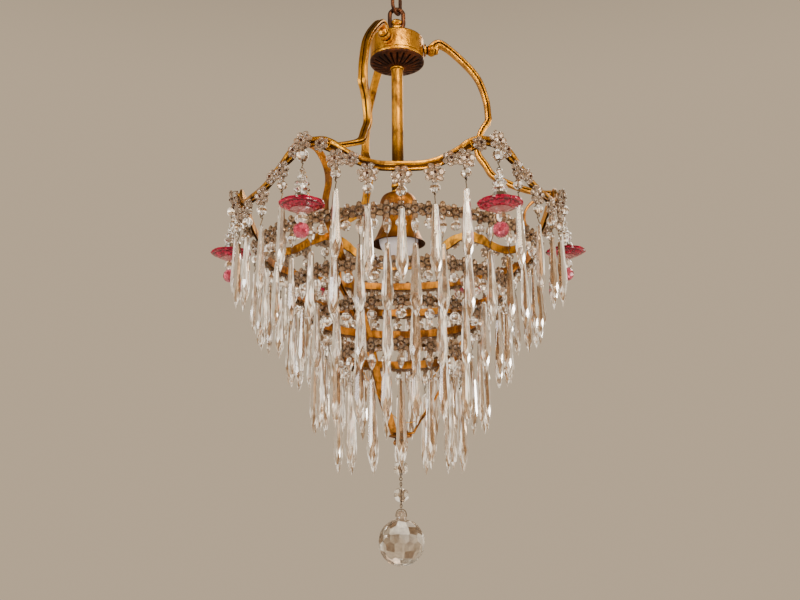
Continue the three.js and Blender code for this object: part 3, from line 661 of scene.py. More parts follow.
@dataclass(frozen=True)
class Finishes:
    """Every finish of the chandelier."""

    gilt: Finish = Gilding(
        "bright_gilding", (0.90, 0.42, 0.028), (0.38, 0.145, 0.009), (0.09, 0.024, 0.004), 0.56, 0.26)
    old_gilt: Finish = Gilding(
        "old_gilding", (0.78, 0.31, 0.035), (0.42, 0.14, 0.013), (0.10, 0.028, 0.006), 0.62, 0.30)
    brown_gilt: Finish = Gilding(
        "browned_gilding", (0.82, 0.34, 0.035), (0.40, 0.13, 0.014), (0.09, 0.026, 0.006), 0.68, 0.31)
    dark_gilt: Finish = Gilding(
        "darkened_gilding", (0.17, 0.055, 0.022), (0.09, 0.03, 0.014), (0.025, 0.01, 0.006), 0.8, 0.4)
    bronze: Finish = Gilding(
        "chain_bronze", (0.26, 0.10, 0.045), (0.12, 0.045, 0.022), (0.03, 0.014, 0.009), 0.8, 0.34)
    wire: Finish = Gilding(
        "tarnished_wire", (0.22, 0.14, 0.07), (0.10, 0.06, 0.03), (0.03, 0.018, 0.01), 0.6, 0.35)
    clear: Finish = CutGlass(
        "clear_glass", (1.0, 0.93, 0.82), (0.40, 0.24, 0.12), (0.45, 0.36, 0.26), clear=0.80, painted_glint=0.95)
    rosette: Finish = CutGlass(
        "rosette_glass", (0.90, 0.76, 0.62), (0.66, 0.47, 0.33), (0.14, 0.075, 0.035), clear=0.78,
        roughness=0.17, wave=0.0003, shine=0.35)
    smoky: Finish = CutGlass(
        "smoky_rosette_glass", (0.74, 0.50, 0.30), (0.42, 0.24, 0.12), (0.06, 0.028, 0.012), clear=0.62,
        roughness=0.14, wave=0.0003, shine=0.4)
    pink: Finish = CutGlass(
        "raspberry_glass", (0.70, 0.002, 0.07), (0.24, 0.0, 0.022), (0.12, 0.0, 0.016), clear=0.55,
        roughness=0.02, painted_glint=0.3, shine=0.4)
    pale_pink: Finish = CutGlass(
        "pink_glass", (0.92, 0.20, 0.30), (0.58, 0.04, 0.11), (0.30, 0.02, 0.06), clear=0.75, painted_glint=0.2,
        shine=0.5)
    blush: Finish = CutGlass(
        "blush_glass", (0.85, 0.42, 0.40), (0.70, 0.22, 0.24), (0.30, 0.05, 0.06), clear=0.7,
        roughness=0.06, wave=0.0002)
    ball: Finish = CutGlass(
        "ball_glass", (1.0, 0.93, 0.80), (0.24, 0.15, 0.09), (0.50, 0.40, 0.30), clear=0.88, painted_glint=0.6,
        streaks=(0.03, 1.0))
    porcelain: Finish = Glaze("porcelain", (0.90, 0.88, 0.83), (0.78, 0.74, 0.68), 0.2)
    bulb: Finish = Glaze("frosted_bulb", (0.93, 0.91, 0.97), (0.82, 0.79, 0.88), 0.35, 0.08)


# Places shared by the sub-assemblies


@dataclass(frozen=True)
class Layout:
    """The heights and radii that tie the sub-assemblies together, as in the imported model.

    The crown hoop's centre line is z = peak - wave (1 - share^bump) at azimuth a, where the share is
    cos(peaks a / 2) squared, so that narrow peaks stand between wide dips.
    """

    gap: float = 0.0003
    link_turn: float = math.radians(60)
    ring_top: float = -0.0232
    drum_top: float = -0.06795
    drum_rim: float = -0.09695
    drum_radius: float = 0.0333
    dish_low: float = -0.10645
    cup_top: float = -0.26995
    cup_rim: float = -0.33295
    hoop_radius: float = 0.184
    peak_z: float = -0.27295
    wave: float = 0.036
    bump: float = 1.6
    peaks: int = 6
    arc_prisms: int = 5
    foot_radius: float = 0.18173
    bead_axis: float = 0.1881
    pendant_radius: float = 0.196
    rosette_drop: float = 0.012
    rosette_radius: float = 0.0102
    prism_drop: float = 0.0325
    pendant_rise: float = 0.0084
    hub_z: float = -0.55495
    finial_tip: float = -0.57695

    def hoop_z(self, azimuth: np.ndarray) -> np.ndarray:
        """Height of the crown hoop's centre line at angles in radians."""
        share = np.cos(np.asarray(azimuth) * self.peaks / 2) ** 2
        return self.peak_z - self.wave * (1 - share ** self.bump)

    def prism_hook(self, azimuth: np.ndarray) -> np.ndarray:
        """Height that a crown prism hangs from."""
        return self.hoop_z(azimuth) - self.prism_drop

    def pendant_hook(self, azimuth: np.ndarray) -> np.ndarray:
        """Height that a pendant hangs from."""
        return self.prism_hook(azimuth) + self.pendant_rise


PLACES = Layout()


# Shapes that several sub-assemblies use


def wire_link(length: float, width: float, wire: float) -> Surface:
    """A link of round wire in the XZ plane about the origin: two half circles joined by straight sides.

    Args:
        length: outside length.
        width: outside width.
        wire: the wire's diameter.

    Returns:
        The link.
    """
    bend, straight = (width - wire) / 2, (length - width) / 2
    angle = np.linspace(0, math.pi, 25)
    top = np.stack([bend * np.cos(angle), straight + bend * np.sin(angle)], axis=-1)
    return sweep(upright(np.vstack([top, -top])), Y_AXIS, ring_of(14, wire / 2), closed=True)


def wire_along(rows: np.ndarray, radius: float, sides: int = 5, y: float = 0.0) -> Surface:
    """A wire that runs through rows of x and z, in a plane of one y."""
    return sweep(upright(rows, y), Y_AXIS, ring_of(sides, radius))


def hook(height: float, loop: float, wire: float = 0.00045) -> Surface:
    """An S hook in the XZ plane that hangs from the origin: a loop at each end joined by a straight stem.

    Args:
        height: from the top loop's top to the lower loop's foot.
        loop: the loops' radius.
        wire: the wire's radius.

    Returns:
        The hook.
    """
    turn = np.radians(np.linspace(-150, 140, 11))
    bend = loop * np.stack([np.cos(turn), np.sin(turn)], axis=-1)
    return wire_along(np.vstack([bend[::-1] - (0, loop), (0, loop - height) - bend]), wire)


def flower(radius: float, petals: int, depth: float, steps: int, rings: int) -> Surface:
    """A moulded flower that faces +X: a domed eye inside a ring of rounded petals.

    Along each ray the height is depth times a profile with a dome and a crest, and the crest and the
    rim swell with |cos(n a / 2)|, which rounds the petals and cuts notches between them.

    Args:
        radius: over the petals.
        petals: how many petals.
        depth: from the rim's plane to the eye.
        steps: steps round each petal.
        rings: rings from the eye to the rim.

    Returns:
        The flower, with its rim's plane on the origin.
    """
    angle = even_angles(petals * steps)
    notch = 1 - np.abs(np.cos(petals * angle / 2)) ** 0.7
    share = np.linspace(0.03, 1.0, rings)[:, None]
    rise = np.interp(share, [0, 0.18, 0.34, 0.44, 0.72, 0.9, 1.0], [1.0, 0.92, 0.5, 0.3, 0.85, 0.6, 0.0])
    crest = np.interp(share, [0, 0.35, 0.7, 1.0], [0, 0, 0.55, 0.0])
    reach = radius * share * (1 - 0.36 * share ** 2 * notch)
    out = depth * (rise - crest * notch)
    # Darker in the notches between the petals and in a ring round the eye, through the hollow mark.
    darkening = np.clip(1.3 * notch * share, 0, 1) ** 1.5
    darkening = np.maximum(darkening, 0.7 * np.exp(-((share - 0.42) / 0.07) ** 2))
    back = np.array([0.9, 0.03])[:, None]
    reach = np.vstack([reach, back * reach[-1]])
    out = np.vstack([out, -0.35 * depth * np.ones((2, len(angle)))])
    darkening = np.vstack([darkening, np.full((2, len(angle)), 0.5)])
    points = np.stack([out, reach * np.sin(angle), -reach * np.cos(angle)], axis=-1)
    return grid(points[::-1], False, darkening[::-1])


def spear(length: float, width: float, depth: float, top: float) -> Surface:
    """A spear prism that hangs from its origin, with eight long facets above and lozenges cut below.

    Down to the widest place the eight corners widen evenly. Below it rings follow at even steps, each
    turned by half a step against the last. A lozenge is flat when its upper tip, the middle of its
    waist and its lower tip lie in one line, so each ring's radius is r2 = 2 r1 cos(22.5) - r0, and the
    long facets end in a point in the same way. The lowest ring closes on the prism's point.

    Args:
        length: from its top to its point.
        width: at its widest.
        depth: at its widest.
        top: its width at the top.

    Returns:
        The prism.
    """
    shoulder, waist, step = 0.035, 0.69, 0.072  # shares of the length
    half_turn = math.pi / 8
    fold = math.cos(half_turn)
    widths = [0.99 * width]
    widths.append((widths[0] + (widths[0] - top) * step / (waist - shoulder)) * fold)
    while len(widths) < 4:
        widths.append(2 * widths[-1] * fold - widths[-2])
    rows = [(0.0, 0.6 * top, 0), (0.012, 0.88 * top, 0), (shoulder, top, 0)]
    rows += [(waist + step * i, across, i) for i, across in enumerate(widths)] + [(1.0, 0.01 * width, 4)]
    rings = []
    for share, across, turns in rows:
        ring = ring_of(8, across / 2, half_turn * (1 + turns)) * (depth / width, 1)
        rings.append(np.column_stack([ring, np.full(8, -share * length)]))
    return grid(np.array(rings)[::-1, ::-1], False, split=True)


def faceted_bead(radius: float, length: float) -> Surface:
    """An eight-sided cut bead centred on the origin: a flat belt between two bevelled cones."""
    share = np.array([(0.14, -1), (0.6, -0.88), (1, -0.3), (1, 0.3), (0.6, 0.88), (0.14, 1)])
    return lathe(share * (radius, length / 2), 8)


def cut_ball(radius: float, rows: int, belt: int) -> Surface:
    """A ball whose facets are tangent planes, laid in rows with each row turned by half a step.

    The corners are the dual of the hull of the facets' directions: each hull face with unit normal n
    at distance d gives the corner n radius / d.

    Args:
        radius: to the facets.
        rows: rows of facets from pole to pole.
        belt: facets in the widest row.

    Returns:
        The ball.
    """
    polar = math.pi * np.arange(1, rows) / rows
    counts = np.maximum(np.round(belt * np.sin(polar)).astype(int), 5)
    row = np.repeat(np.arange(rows - 1), counts)
    step = np.arange(len(row)) - np.repeat(np.cumsum(counts) - counts, counts)
    turn = TAU * (step + 0.5 * (row % 2)) / counts[row]
    sine = np.sin(polar[row])
    facing = np.vstack([around(sine, turn, np.cos(polar[row])), Z_AXIS, -Z_AXIS])
    normals, distances, _ = hull(facing)
    return hull(normals * (radius / distances)[:, None])[2]


def hull(points: np.ndarray) -> tuple[np.ndarray, np.ndarray, Surface]:
    """The convex hull of a cloud of points about the origin, with its flat faces made whole.

    Args:
        points: rows of x, y and z.

    Returns:
        Its faces' unit normals, their distances from the origin, and the hull itself.
    """
    shape = bmesh.new()
    corners = [shape.verts.new(p) for p in points.tolist()]
    bmesh.ops.convex_hull(shape, input=corners)
    bmesh.ops.dissolve_limit(shape, angle_limit=0.004, verts=shape.verts[:], edges=shape.edges[:])
    shape.verts.index_update()
    shape.normal_update()
    normals = np.array([f.normal for f in shape.faces])
    distances = np.array([f.normal.dot(f.verts[0].co) for f in shape.faces])
    made = np.array([v.co for v in shape.verts])
    sizes = sorted({len(f.verts) for f in shape.faces})
    faces = [np.array([[v.index for v in f.verts] for f in shape.faces if len(f.verts) == n]) for n in sizes]
    shape.free()
    return normals, distances, Surface(made, faces, np.zeros(len(made)))


def swayed(surface: Surface, sway: float, whole: float, none: float) -> Surface:
    """Turns points about the Z axis by sway (1 - s), where s rises smoothly over a stretch of x.

    Args:
        surface: what is turned, lying along the X axis.
        sway: the whole turn, in radians.
        whole: the x up to which points take the whole turn.
        none: the x beyond which they take none of it.

    Returns:
        The turned surface.
    """
    x, y, z = surface.points.T
    u = np.clip((x - whole) / (none - whole), 0, 1)
    angle = sway * (1 - u * u * (3 - 2 * u))
    cosine, sine = np.cos(angle), np.sin(angle)
    turned = np.stack([x * cosine - y * sine, x * sine + y * cosine, z], axis=-1)
    return Surface(turned, surface.faces, surface.hollow)


# Sub-assemblies


@dataclass
class HangingParts:
    """The chain link that the chandelier hangs by, and the ring below it."""

    link_length: float = 0.038
    link_width: float = 0.024
    link_wire: float = 0.0045
    ring_length: float = 0.034
    ring_width: float = 0.0224
    ring_wire: float = 0.0055

    def build(self, finishes: Finishes) -> None:
        """Makes the link and the ring.

        Args:
            finishes: the finishes to choose from.
        """
        link = wire_link(self.link_length, self.link_width, self.link_wire)
        place = about_axis(0.0, [PLACES.link_turn], self.link_wire - self.link_length / 2)[0]
        build("chain_link_cast", link.moved(place), finishes.bronze, "chain", ("chain_link",))
        ring = wire_link(self.ring_length, self.ring_width, self.ring_wire)
        build("hanging_ring_cast", ring.moved(at(0, 0, PLACES.ring_top - self.ring_length / 2)),
              finishes.bronze, "ring", ("hanging_ring",))


@dataclass
class Cap:
    """The nipple with its eye, the drum cap, the fluted dish in its mouth and the centre rod."""

    nipple_radius: float = 0.0072
    eye_height: float = 0.0135
    eye_radius: float = 0.0043
    eye_wall: float = 0.0042
    eye_width: float = 0.0086
    wall: float = 0.0016
    flutes: int = 22
    flute_depth: float = 0.0018
    rod_radius: float = 0.0072

    def build(self, finishes: Finishes) -> None:
        """Makes every turned piece above the lamp.

        Args:
            finishes: the finishes to choose from.
        """
        build("cap_nipple_turned", self._nipple(), finishes.gilt, "frame", ("cap_nipple",))
        build("cap_drum_turned", self._drum(), finishes.gilt, "frame", ("cap_drum",))
        build("cap_dish_fluted", self._dish(), finishes.dark_gilt, "frame", ("cap_dish",))
        build("centre_rod_turned", self._rod(), finishes.gilt, "frame", ("centre_rod",))

    def _nipple(self) -> Surface:
        """A domed stem with a flange below the eye, the eye's loop, and a knob above it.

        Returns:
            The stem, loop and knob.
        """
        r, eye = self.nipple_radius, self.eye_height
        stem = lathe([(0, -0.011), (0.0045, -0.011), (0.0045, PLACES.gap), (r + 0.0015, PLACES.gap),
                      (r + 0.002, 0.0012), (r + 0.0015, 0.0022), (r - 0.0014, 0.0028), (r - 0.0018, 0.0036),
                      (r - 0.0004, 0.0050), (r, 0.0064), (r - 0.0010, 0.0078), (r - 0.0032, 0.0088),
                      (0, 0.0091)], 40)
        middle = self.eye_radius + self.eye_wall / 2
        path = np.insert(ring_of(40, middle) + (0, eye + 0.0004), 0, 0.0, axis=1)
        section = np.array([(1, 0.55), (0.8, 0.95), (-0.8, 0.95), (-1, 0.55), (-1, -0.55), (-0.8, -0.95),
                            (0.8, -0.95), (1, -0.55)]) * (self.eye_width / 2, self.eye_wall / 2)
        loop = sweep(path, X_AXIS, section[::-1], closed=True)
        top = eye + 0.0005 + middle + 0.0012
        knob = lathe([(0, top - 0.002), (0.0040, top - 0.002), (0.0062, top), (0.0068, top + 0.0022),
                      (0.0058, top + 0.0042), (0.0032, top + 0.0056), (0, top + 0.0060)], 32)
        return together([stem, loop, knob]).moved(at(0, 0, PLACES.drum_top))

    def _drum(self) -> Surface:
        """The cap's shell, with a rounded shoulder, a turned step on top and a bead at its rim.

        Returns:
            The shell.
        """
        r, top, rim, wall = PLACES.drum_radius, PLACES.drum_top, PLACES.drum_rim, self.wall
        bend = np.linspace(math.pi / 2, 0, 7)
        shoulder = 0.003 * np.stack([np.cos(bend), np.sin(bend)], axis=-1) + (r - 0.0035, top - 0.003)
        outside = [(0.0048, top), (r * 0.62, top), (r * 0.64, top - 0.0006), (r * 0.8, top - 0.0004)]
        lower = [(r - 0.0005, rim + 0.0046), (r - 0.0009, rim + 0.0041), (r - 0.0002, rim + 0.0034),
                 (r, rim + 0.0012), (r - 0.0004, rim)]
        inside = [(r - wall, rim), (r - wall, top - 0.0035), (r - wall - 0.002, top - wall),
                  (0.0048, top - wall), (0.0048, top)]
        return lathe(np.vstack([outside, shoulder, lower, inside]), 96)

    def _dish(self) -> Surface:
        """A dome that closes the drum from below, with flutes that fade at its flange and at the rod.

        Below the flange its height is low + rise s^1.7 + flute (1 - |cos(n a / 2)|^1.4), where s runs
        from 0 at the rod to 1 at the flange.

        Returns:
            The dish.
        """
        rim, hole = PLACES.drum_radius, self.rod_radius + PLACES.gap
        low, top = PLACES.dish_low, PLACES.drum_rim - PLACES.gap
        angle = even_angles(self.flutes * 8)
        s = np.linspace(1, 0, 14)
        edge = top - 0.0030
        flute = 1 - np.abs(np.cos(self.flutes * angle / 2)) ** 1.4
        fade = np.interp(s, [0, 0.1, 0.25, 0.85, 0.93, 1], [0.2, 0.6, 1, 0.9, 0, 0])
        radius = np.concatenate([[rim - self.wall, rim, rim], hole + (rim - 0.0006 - hole) * s, [hole, rim * 0.6]])
        base = np.concatenate([[top, top, edge + 0.0005], low + (edge - low) * s ** 1.7,
                               [low + 0.003, low + 0.0052]])
        share = np.concatenate([[0, 0, 0], fade, [0, 0]])[:, None] * flute
        points = around(radius[:, None], angle, base[:, None] + self.flute_depth * share)
        return grid(points[::-1], True, np.clip(share, 0, 1)[::-1] ** 1.5)

    def _rod(self) -> Surface:
        """The tube, with the small collar under the dish and turned lines at its lower end.

        Returns:
            The tube with its collar.
        """
        r, cup = self.rod_radius, PLACES.cup_top
        top = PLACES.drum_top - self.wall - PLACES.gap
        collar = PLACES.dish_low - PLACES.gap
        return lathe([(0.0048, top), (r, top), (r, collar), (r + 0.0009, collar), (r + 0.0012, collar - 0.0008),
                      (r + 0.0009, collar - 0.0017), (r + 0.0001, collar - 0.0024), (r, collar - 0.0030),
                      (r - 0.0002, collar - 0.05), (r, cup + 0.012), (r + 0.0008, cup + 0.011),
                      (r + 0.0011, cup + 0.0085), (r + 0.0003, cup + 0.0068), (r + 0.0003, cup + 0.003),
                      (r + 0.0012, cup + 0.002), (r + 0.0012, cup + PLACES.gap), (0.005, cup + PLACES.gap),
                      (0.005, cup - 0.0079), (0.0036, cup - 0.0079), (0.0036, top - 0.012), (0.0048, top - 0.012),
                      (0.0048, top)], 48)


@dataclass
class Lamp:
    """The bell-shaped cup, the porcelain holder and the frosted globe bulb."""

    height: float = 0.063
    holder: float = 0.027
    dome: float = 0.0218
    waist: float = 0.0188
    rim: float = 0.0312
    wall: float = 0.0013
    bore: float = 0.0053
    bulb: float = 0.023
    screw: float = 0.0066
    thread: float = 0.0003
    pitch: float = 0.0028

    def build(self, finishes: Finishes) -> None:
        """Makes the cup, the holder and the bulb.

        Args:
            finishes: the finishes to choose from.
        """
        top, foot = PLACES.cup_top, PLACES.cup_rim
        build("lamp_cup_spun", self._cup(top), finishes.old_gilt, "frame", ("lamp_cup",))
        roof = top - self.wall - PLACES.gap
        low = roof - self.holder
        holder = lathe([(self.bore, roof), (0.009, roof - 0.0015), (0.0125, roof - 0.0045),
                        (0.0135, roof - 0.007), (0.0135, low + 0.004), (0.0128, low + 0.0032),
                        (0.0128, low + 0.0008), (0.012, low), (0.0078, low), (0.0074, low + 0.001),
                        (0.0074, roof - 0.007), (self.bore, roof - 0.007), (self.bore, roof)], 48)
        build("lamp_holder_glazed", holder, finishes.porcelain, "frame", ("lamp_holder",))
        centre = foot + 0.006
        angle = np.linspace(0, math.pi - math.asin(0.0068 / self.bulb), 30)
        globe = np.stack([self.bulb * np.sin(angle), centre - self.bulb * np.cos(angle)], axis=-1)
        neck = [(self.screw, low + 0.0012), (0.0, low + 0.0012)]
        build("bulb_globe", lathe(np.vstack([globe, neck]), 64), finishes.bulb, "bulb", ("bulb",))
        height = np.linspace(low + 0.001, low + 0.0112, 24)
        ridge = self.screw + self.thread * np.sin((height - low) * TAU / self.pitch)
        cap = np.vstack([[(0, low + 0.001)], np.stack([ridge, height], axis=-1),
                         [(0.0034, low + 0.013), (0, low + 0.013)]])
        build("bulb_cap", lathe(cap, 32), finishes.wire, "bulb")

    def _cup(self, top: float) -> Surface:
        """A bell of even wall: dome, waist and flared lip, with a turned line above the lip, and painted shade
        inside.

        Args:
            top: height of the cup's upper side.

        Returns:
            The cup.
        """
        knots = np.array([(self.bore, 0), (self.dome * 0.42, -0.002), (self.dome * 0.82, -0.06), (self.dome, -0.19),
                          (self.dome * 0.96, -0.31), (self.waist, -0.46), (self.waist * 1.04, -0.6),
                          (self.rim * 0.76, -0.76), (self.rim * 0.87, -0.89), (self.rim, -1)])
        outer = curve_through(knots * (1, self.height) + (0, top), 46)
        lip = [(self.rim + 0.0002, top - self.height + 0.0006)]
        inner = (outer - (self.wall, 0))[:2:-1]
        inner[-1, 1] -= self.wall
        profile = np.vstack([outer[:-1], lip, outer[-1:], inner, [(self.bore, top - self.wall), (self.bore, top)]])
        # Painted shade: the lip's underside is marked partly hollow and the whole inside fully hollow, so the
        # finish darkens them as shade.
        dark = np.concatenate([np.zeros(len(outer) - 1), [0.6], [1.0], np.ones(len(inner) + 2)])
        return lathe(profile, 96, hollow=dark)


@dataclass
class Arms:
    """Three cast arms that swing out from the drum, step back and run out to the crown hoop."""

    width: float = 0.0082
    thickness: float = 0.0064
    boss: float = 0.0076
    stub: float = 0.0026
    reach: float = 0.077
    firm: float = 0.0266
    sways: tuple[float, ...] = (0.0, -8.0, 9.0)

    def build(self, finishes: Finishes) -> None:
        """Makes each arm with its knot, at azimuths 0, 120 and 240 degrees, its root turned by its sway.

        Args:
            finishes: the finishes to choose from.
        """
        for i, place in enumerate(about_axis(0.0, even_angles(len(self.sways)), 0.0)):
            arm = self._arm(math.radians(self.sways[i])).moved(place)
            build(f"arm_{i + 1}_cast", arm, finishes.gilt, "frame", (f"arm_{i + 1}",))

    def _arm(self, sway: float) -> Surface:
        """One arm over the X axis: a bar with two rails along each side, and the knot at its root.

        Args:
            sway: how far its root is turned about the rod, in radians.

        Returns:
            The arm.
        """
        face, seat = PLACES.drum_radius + PLACES.gap, PLACES.drum_rim + 0.0145
        foot = np.array([PLACES.foot_radius, PLACES.peak_z + 0.0025])
        upper = np.array([(0.008, 0), (0.02, 0.008), (0.0431, -0.0112), (0.0647, -0.0381), (0.0747, -0.0679),
                          (self.reach, -0.093)]) + (face, seat)
        set_back = np.array([(0.0758, -0.0968), (0.0705, -0.1043), (0.0655, -0.115),
                             (0.0624, -0.1358)]) + (face, seat)
        run = np.array([(-0.0765, 0.036), (-0.068, 0.0225), (-0.0486, 0.0118), (-self.firm, 0.0038),
                        (-0.0091, 0), (0, 0)]) + foot
        path = upright(np.vstack([curve_through(upper, 60), curve_through(np.vstack([set_back, run]), 70)]))
        s = np.linspace(0, 1, len(path))
        swell = np.interp(s, [0, 0.5, 0.85, 1], [1.12, 1.12, 1.0, 0.88]) + 0.4 * np.exp(-(s / 0.06) ** 2)
        swell += 0.1 * np.exp(-((s - 0.46) / 0.012) ** 2)
        half = [(-0.4, -0.5), (-0.13, -0.5), (-0.05, -0.38), (0.05, -0.38), (0.13, -0.5), (0.4, -0.5), (0.5, -0.36),
                (0.47, -0.15), (0.33, -0.07), (0.33, 0.07), (0.47, 0.15), (0.5, 0.36), (0.4, 0.5)]
        section = np.array(half + [(-x, y) for x, y in half[:5:-1]])
        bar = sweep(path, Y_AXIS, section, scale=np.stack([self.width * swell, self.thickness * swell], axis=-1))
        stub = self.stub / self.boss
        knot = np.array([(0, -0.007), (stub, -0.007), (stub, 0), (1, 0), (1, 0.0022), (0.68, 0.0032),
                         (0.62, 0.0042), (0.82, 0.0054), (0.98, 0.0078), (1, 0.0098), (0.9, 0.0120),
                         (0.72, 0.0136), (0.74, 0.0150), (0.62, 0.0172), (0.3, 0.0184), (0, 0.0186)])
        boss = lathe(knot * (self.boss, 1), 28).moved(at(face, 0, seat) @ LAID)
        return swayed(together([bar, boss]), sway, face + self.reach, foot[0] - self.firm)


@dataclass
class CrownHoop:
    """The wavy crown hoop with its rivets, and the rosettes, beads and hooks wired to it."""

    stations: int = 720
    plate_turn: float = math.radians(6.5)
    peak_drop: float = 0.0036
    small_rosette: float = 0.0088
    bead: float = 0.0054
    bead_length: float = 0.010
    bead_drop: float = 0.0052
    hook_length: float = 0.013
    tie_wire: float = 0.00042

    def build(self, finishes: Finishes) -> None:
        """Makes the hoop, then the glass and wire on it.

        Args:
            finishes: the finishes to choose from.
        """
        build("crown_hoop_strip", self._strip(), finishes.gilt, "frame", ("crown_hoop",))
        build("crown_hoop_rivets", self._rivets(), finishes.gilt, "frame")
        azimuth = even_angles(PLACES.peaks * (PLACES.arc_prisms + 1))
        at_peak = np.arange(len(azimuth)) % (PLACES.arc_prisms + 1) == 0
        radius = np.where(at_peak, PLACES.pendant_radius, PLACES.bead_axis)
        height = PLACES.hoop_z(azimuth) - np.where(at_peak, self.peak_drop, PLACES.rosette_drop)
        rng = np.random.default_rng(7)
        tilt, spin = (rng.normal(0, spread, len(azimuth)) for spread in (0.09, 0.12))
        spots = about_axis(radius, azimuth, height, tilt, spin)
        bloom = flower(PLACES.rosette_radius * 1.12, 7, 0.0036, 6, 9)
        small = flower(self.small_rosette, 6, 0.003, 5, 8)
        build("crown_rosettes", bloom.repeated(spots), finishes.rosette, "frame")
        between = self._between()
        build("crown_small_rosettes", small.repeated(between), finishes.rosette, "frame")
        pin = lathe([(0, 0.0026), (0.0013, 0.0027), (0.0016, 0.0036), (0.0010, 0.0046), (0, 0.0048)], 8)
        pins = pin.moved(LAID).repeated(np.concatenate([spots, between]))
        build("crown_pins", pins, finishes.dark_gilt, "frame")
        beads = about_axis(radius, azimuth, height - PLACES.rosette_radius - self.bead_drop, 0.0,
                           rng.uniform(0, 0.7, len(azimuth)))
        beads[at_peak, :3, :3] *= 1.2  # larger over the pendants
        bead = faceted_bead(self.bead, self.bead_length)
        build("crown_beads", bead.repeated(beads), finishes.clear, "frame", shading=Shading.CUT)
        build("crown_ties", self._ties(azimuth, radius, height), finishes.wire, "frame")

    def _between(self) -> np.ndarray:
        """Places of the small rosettes, which sit on the slopes between the large ones.

        Returns:
            An array of 4 by 4 matrices.
        """
        step = TAU / (PLACES.peaks * (PLACES.arc_prisms + 1))
        azimuth = (even_angles(PLACES.peaks)[:, None] + np.array([-1.5, -0.5, 0.5, 1.5]) * step).ravel()
        rng = np.random.default_rng(3)
        tilt, spin = rng.normal(0, 0.1, (2, len(azimuth)))
        return about_axis(PLACES.hoop_radius + 0.0042, azimuth, PLACES.hoop_z(azimuth) - 0.0035, tilt, spin)

    def _strip(self) -> Surface:
        """The hoop: two rails with a groove between, square to the wave, and broad beside each peak.

        Returns:
            The hoop.
        """
        azimuth = even_angles(self.stations)
        z = PLACES.hoop_z(azimuth)
        slope = (np.roll(z, -1) - np.roll(z, 1)) / (2 * PLACES.hoop_radius * TAU / self.stations)
        lean = np.arctan(slope)
        millimetres = [(-1.7, -4.5), (-1.2, -5), (0.6, -5), (1.4, -4.7), (1.7, -4), (1.6, -2.6), (1.1, -1.9),
                       (0.3, -1.4), (0.3, 0.6), (1.1, 1.2), (1.6, 2.0), (1.7, 4), (1.4, 4.7), (0.6, 5),
                       (-1.2, 5), (-1.7, 4.5)]
        section = np.array(millimetres) / 1000
        arc = TAU / PLACES.peaks
        beside = np.abs((azimuth + arc / 2) % arc - arc / 2)
        broad = 1 + 0.32 * np.exp(-((beside - self.plate_turn) / 0.06) ** 4)
        out, up = section[:, 0][None], section[:, 1][None] * broad[:, None]
        angle = azimuth[:, None] - up * np.sin(lean)[:, None] / PLACES.hoop_radius
        points = around(PLACES.hoop_radius + out, angle, z[:, None] + up * np.cos(lean)[:, None])
        # Painted shade: the strip's underside is marked fully hollow, so the finish darkens it as shade.
        underside = section[:, 1] < -0.0046
        return grid(points[::-1], True, np.maximum(hollows(section), underside))

    def _rivets(self) -> Surface:
        """A domed rivet in a ring on both sides of each peak, where the arcs are pieced.

        Returns:
            All the rivets.
        """
        plate = lathe([(0, 0.0), (0.0042, 0.0), (0.0044, 0.0007), (0.0038, 0.0013), (0.0028, 0.0010),
                       (0.0024, 0.0022), (0.0012, 0.0030), (0, 0.0032)], 20)
        azimuth = (even_angles(PLACES.peaks)[:, None] + np.array([-1, 1]) * self.plate_turn).ravel()
        spots = about_axis(PLACES.hoop_radius + 0.0008, azimuth, PLACES.hoop_z(azimuth))
        return plate.moved(LAID).repeated(spots)

    def _ties(self, azimuth: np.ndarray, radius: np.ndarray, height: np.ndarray) -> Surface:
        """Wire: a tie from each rosette to the hoop, and a hook through its bead.

        Args:
            azimuth: angles of the rosettes, in radians.
            radius: their distances from the axis.
            height: their heights.

        Returns:
            All the wire.
        """
        tie = curve_through([(-0.006, 0.0085), (-0.0025, 0.0105), (0.0006, 0.0082), (0.001, 0.002),
                             (0.0, -0.006), (0.0003, -0.0104)], 18)
        ties = wire_along(tie, self.tie_wire).repeated(about_axis(radius, azimuth, height))
        below = about_axis(radius, azimuth, height - PLACES.rosette_radius + 0.0008, 0.0, 0.5)
        return together([ties, hook(self.hook_length, 0.0014).repeated(below)])


@dataclass
class CrownPrisms:
    """The thirty spear prisms of the crown, each on its own hook and free to swing."""

    length: float = 0.076
    width: float = 0.0124
    depth: float = 0.0092
    top: float = 0.0060
    hook_length: float = 0.011

    def build(self, finishes: Finishes) -> None:
        """Makes each prism with its hook.

        Args:
            finishes: the finishes to choose from.
        """
        prism = spear(self.length, self.width, self.depth, self.top)
        stem = hook(self.hook_length + 0.0035, 0.0017, 0.0005)
        turns = np.random.default_rng(11).normal(0, 0.10, PLACES.peaks * PLACES.arc_prisms)
        for number, turn in enumerate(turns):
            arc, i = divmod(number, PLACES.arc_prisms)
            azimuth = TAU * (arc + (i + 1) / (PLACES.arc_prisms + 1)) / PLACES.peaks
            body = f"crown_prism_{arc + 1}_{i + 1}"
            hang = about_axis(PLACES.bead_axis, [azimuth], PLACES.prism_hook(azimuth), 0.0, turn)[0]
            glass = prism.moved(hang @ at(0, 0, -self.hook_length))
            build(f"{body}_glass", glass, finishes.clear, body, (body,), Shading.CUT)
            build(f"{body}_hook", stem.moved(hang), finishes.wire, body)


